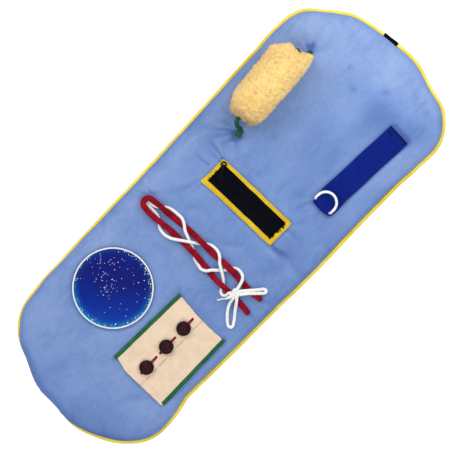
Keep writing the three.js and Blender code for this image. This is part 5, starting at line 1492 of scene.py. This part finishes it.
def over_lower(y):
    """The upper flap's height: it lies on the lower flap, and comes down to the pad behind its top edge."""
    return 1.0 + 1.45 * (1 - smoothed((y - 20) / 8))


upper = flap("flap_upper_muslin", [(HEM_SHARE, -1), (0.47, -1), (0.8, -0.94), (0.96, -0.905)],
             [(HEM_SHARE, 0.905), (0.4, 0.95), (0.86, 0.985)], HEM_SHARE, [(-1, 0.96), (0, 0.91), (1, 0.86)],
             over_lower, 71, 0.85, 0.91)
dressed(upper, "pad", "muslin", "flap_upper", finish=muslin)
hem_rows = []
for u in np.linspace(-1, 1, 150):
    x = PANEL_PLACE[0] + PANEL_HALF[0] * (-1 + (u + 1) / 2 * 1.905)
    hem_rows.append([(x, HEM_Y + reach,
                      SEAT + 2.72 + 0.2 * math.sin(math.pi * min(reach / 5, 1)) + 0.05 * math.sin(x / 3.1))
                     for reach in np.linspace(-0.3, 5.2, 12)])
hem = layered(grid_mesh("flap_upper_hem", hem_rows), 0.6, 0.2)
dressed(hem, "pad", "muslin", finish=muslin)
cream_thread = sewing_thread("cream_thread", (226, 200, 166))
hem_path = [(PANEL_PLACE[0] + along, HEM_Y + 4.4, SEAT + 2.95) for along in (-71, 64)]
dressed(stitches("flap_hem_stitches", [hem_path], 2.6, 1.9, 0.4, 0.05), "pad", "muslin", finish=cream_thread)

# Green bindings: ribbed ribbon, 6 mm wide, sewn over the top edge of the upper flap and the bottom of the lower.
forest_thread = sewing_thread("forest_thread", (8, 46, 32))
ribbon_green = cotton("ribbon_green", (58, 126, 88), (36, 96, 64), thread=1500, sheen=0.04, weave=0.6)
for word, y_share, turn, right in (("upper", 0.93, math.radians(-2.3), 72.4), ("lower", -0.945, 0, 69.3)):
    middle = (PANEL_PLACE[0], PANEL_PLACE[1] + y_share * PANEL_HALF[1])
    rows = []
    for along in np.arange(-69.25, right, 0.3):
        row = []
        for reach in np.linspace(-1, 1, 13):
            rib = 0.2 * math.cos((along + reach) * 2 * math.pi / 2.2) * (abs(reach) < 0.9)
            dome = 0.55 * (1 - abs(reach) ** 3)
            row.append((*swung(middle, along, 3.0 * reach + 0.12 * math.sin(along / 6), turn),
                        SEAT + 1.75 + dome + rib + 0.15 * math.sin(along / 9)))
        rows.append(row)
    ribbon = layered(grid_mesh(f"binding_{word}_ribbon", rows), 0.6)
    dressed(ribbon, "pad", "green_fabric", f"binding_{word}", finish=ribbon_green)
    lines = [[(*swung(middle, along, reach, turn), SEAT + 2.2) for along in (-68, right - 1.3)]
             for reach in (-1.5, 1.5)]
    sewn_binding = stitches(f"binding_{word}_stitches", lines, 2.1, 1.6, 0.85, 0.4)
    dressed(sewn_binding, "pad", "green_fabric", finish=forest_thread)

# Buttons: 23 mm, four holes, turned from dark brown horn plastic with a raised rim and a groove inside it.
HOLE = 1.6
HOLE_ENDS = [(-11, 21.2), (-14.2, 20.6), (-12.8, 22.8)]
BUTTON_FLOOR = GAP + FLAP_THICKNESS + GAP + FLAP_THICKNESS + 2
BUTTON_RADIUS, BUTTON_THICKNESS = 11.45, 3.9
button_profile = [(0, 0), (0.7, 0), (0.82, 0.04), (0.93, 0.16), (0.99, 0.32), (1, 0.5), (0.99, 0.72), (0.95, 0.9),
                  (0.89, 1), (0.83, 1), (0.78, 0.9), (0.75, 0.76), (0.72, 0.72), (0.69, 0.78), (0.64, 0.82),
                  (0.58, 0.76), (0.52, 0.64), (0.44, 0.6), (0, 0.58)]
horn_brown, shader = material("button_horn", (40, 20, 25), 0.36, gloss=0.09)
place = node(horn_brown, "TexCoord").outputs["Object"]
drawn = node(horn_brown, "Mapping", ("Vector", place), Rotation=(0, 0, 0.7), Scale=(1, 5, 1)).outputs[0]
grain = node(horn_brown, "TexNoise", ("Vector", drawn), Scale=120, Detail=5, Distortion=1.5).outputs[0]
feed(horn_brown, ramp(horn_brown, grain, [(0.3, (25, 8, 12)), (0.55, (41, 16, 23)), (0.75, (63, 28, 33))]),
     shader.inputs["Base Color"])
bumped(horn_brown, shader, grain, 0.12, 0.0004)
red_thread = sewing_thread("red_thread", (158, 18, 42))
for number, (share, (first, last)) in enumerate(zip(BUTTON_SHARES, HOLE_ENDS), 1):
    x = PANEL_PLACE[0] + share * PANEL_HALF[0]
    base = SEAT + BUTTON_FLOOR
    profile = [(r * BUTTON_RADIUS, BUTTON_FLOOR + h * BUTTON_THICKNESS) for r, h in button_profile]
    button = lathed(f"button_{number}_turned", profile, (x, BUTTON_ROW), 72, angle=30)
    drills = []
    for dx, dy in ((-HOLE, -HOLE), (HOLE, -HOLE), (HOLE, HOLE), (-HOLE, HOLE)):
        bpy.ops.mesh.primitive_cylinder_add(vertices=20, radius=1.05 * MM, depth=12 * MM, location=(
            (x + dx) * MM, (BUTTON_ROW + dy) * MM, (base + 2) * MM))
        drills.append(bpy.context.object)
    drill = joined(drills, "drill")
    modified(button, "BOOLEAN", operation="DIFFERENCE", object=drill, solver="EXACT")
    bpy.data.objects.remove(drill)
    dressed(button, f"button_{number}", "button_brown", f"button_{number}", finish=horn_brown)

    # Two strands cross each pair of holes, and four twist down to the cloth.
    strands = []
    for dy in (-HOLE, HOLE):
        for offset in (-0.3, 0.3):
            strands.append([(x + dx, BUTTON_ROW + dy + offset * share, base + rise) for dx, share, rise in (
                (-HOLE, 0.5, 1.2), (-1.45, 0.8, 2.55), (0, 1, 2.85 - 0.2 * abs(offset)), (1.45, 0.8, 2.55),
                (HOLE, 0.5, 1.2))])
    for a in (k * math.pi / 2 for k in range(4)):
        strands.append([(x + reach * math.cos(a + way), BUTTON_ROW + reach * math.sin(a + way), base + rise)
                        for way, reach, rise in ((0, 0.55, 0.3), (1, 0.45, -1), (2, 0.55, -2.1))])
    tubes = [swept(f"strand_{i}", smooth_line(path, 0.35), 8, rod(0.32, 0.32)) for i, path in enumerate(strands)]
    threads = joined(tubes, f"button_{number}_strands")
    threads.select_set(False)
    dressed(threads, f"button_{number}", "red_thread", f"button_thread_{number}", finish=red_thread)

    # The buttonhole is edged with close stitches on both sides, and barred at its ends.
    bars = []
    height = SEAT + 3.0
    for side in (-1, 1):
        for part in np.arange(60) / 59:
            at = x + first + (last - first) * part
            wide = 1.35 + 0.95 * (1 - abs(2 * part - 1) ** 2.5)
            bars.append(((at, BUTTON_ROW + side * 0.3, height), (at + 0.12, BUTTON_ROW + side * wide, height)))
    for end in (x + first, x + last):
        for y in BUTTON_ROW - 1.1 + 0.73 * np.arange(4):
            bars.append(((end - 0.9, y, height), (end + 0.9, y, height)))
    sewn_hole = stitches(f"buttonhole_{number}_stitching", bars, 3, 2.1, 0.8, 0.8)
    dressed(sewn_hole, "pad", "red_thread", finish=red_thread)


# Red tube: cotton sewn into a flat tube, 9.5 by 5.5 mm, laid in a long U and sewn down at its two ends. It rises
# wherever the lace passes under it.
TUBE_REST, TUBE_OVER, TUBE_HALF = SEAT + 3.05, SEAT + 8.95, SEAT + 6.0
tube_points = [
    (-45.6, -121, TUBE_REST), (-47.2, -104, TUBE_REST), (-46.8, -80.4, TUBE_REST), (-45.5, -67, TUBE_REST),
    (-44.6, -60, TUBE_OVER), (-44.2, -50, TUBE_OVER), (-43.9, -42, TUBE_OVER), (-44.7, -33, TUBE_REST),
    (-45.3, -18, TUBE_REST), (-45, -10, TUBE_REST), (-44.8, -3, TUBE_OVER), (-44.6, 10, TUBE_OVER),
    (-44.5, 15, TUBE_OVER), (-44.6, 25, TUBE_REST), (-45, 40, TUBE_REST), (-46.2, 58, TUBE_REST),
    (-47.2, 70, TUBE_REST), (-48.2, 80, TUBE_OVER), (-48.2, 93, TUBE_OVER), (-49.2, 106, TUBE_OVER),
    (-50.2, 113.2, TUBE_OVER), (-54, 117.4, TUBE_OVER), (-60.8, 117.6, TUBE_OVER), (-65.2, 114, TUBE_OVER),
    (-67, 105, TUBE_OVER), (-67.4, 90, TUBE_OVER), (-65.6, 72, TUBE_OVER), (-64.7, 62, TUBE_REST),
    (-64.6, 45, TUBE_REST),
    (-64.4, 30, TUBE_REST), (-64.5, 24, TUBE_REST), (-64.6, 17, TUBE_OVER), (-65, 4, TUBE_OVER),
    (-65.9, -6, TUBE_OVER), (-66.8, -14, TUBE_REST), (-69.1, -29.5, TUBE_REST), (-71, -44, TUBE_REST),
    (-71.6, -51, TUBE_HALF), (-71.4, -56, TUBE_OVER), (-71.2, -66, TUBE_OVER), (-71.3, -73, TUBE_REST),
    (-71.7, -93, TUBE_REST), (-74.6, -121.5, TUBE_REST)]
tube_line = smooth_line(tube_points, 0.7, lowest=TUBE_REST)
tube_length = length_of(tube_line)


def sewn_tube(along, angle):
    """The section of the tube, with its seam ridge, closed and gathered toward both sewn ends."""
    end = np.minimum(along, tube_length - along)
    closing = np.sqrt(np.clip(1 - (1 - np.minimum(end / 4.5, 1)) ** 2, 0, 1)) * 0.9 + 0.1
    crush = 0.07 * waves(along, 0 * along, 51, 21) + 0.06 * waves(along, 3 * angle, 52, 8)
    gathered = 0.1 * spread(end - 6.5, 1.6) - 0.07 * spread(end - 3, 2)
    wide = 4.6 * (1 + crush - gathered) * closing
    tall = 2.6 * (1 - 0.8 * crush - gathered) * closing
    ridge = 0.22 * spread(angle - 0.15, 0.16)
    return (wide + ridge) * np.cos(angle), (tall + ridge) * np.sin(angle)


tube = swept("lacing_tube", tube_line, 34, sewn_tube)
# The red cotton's wrinkles carry painted shade along their lines.
tube_red = cotton("red_cotton", (163, 22, 41), (130, 12, 30), thread=2200, roughness=0.82, sheen=0.04, weave=0.4,
                  wrinkled=0.9)
dressed(tube, "pad", "red_fabric", "lacing_loop", finish=tube_red)
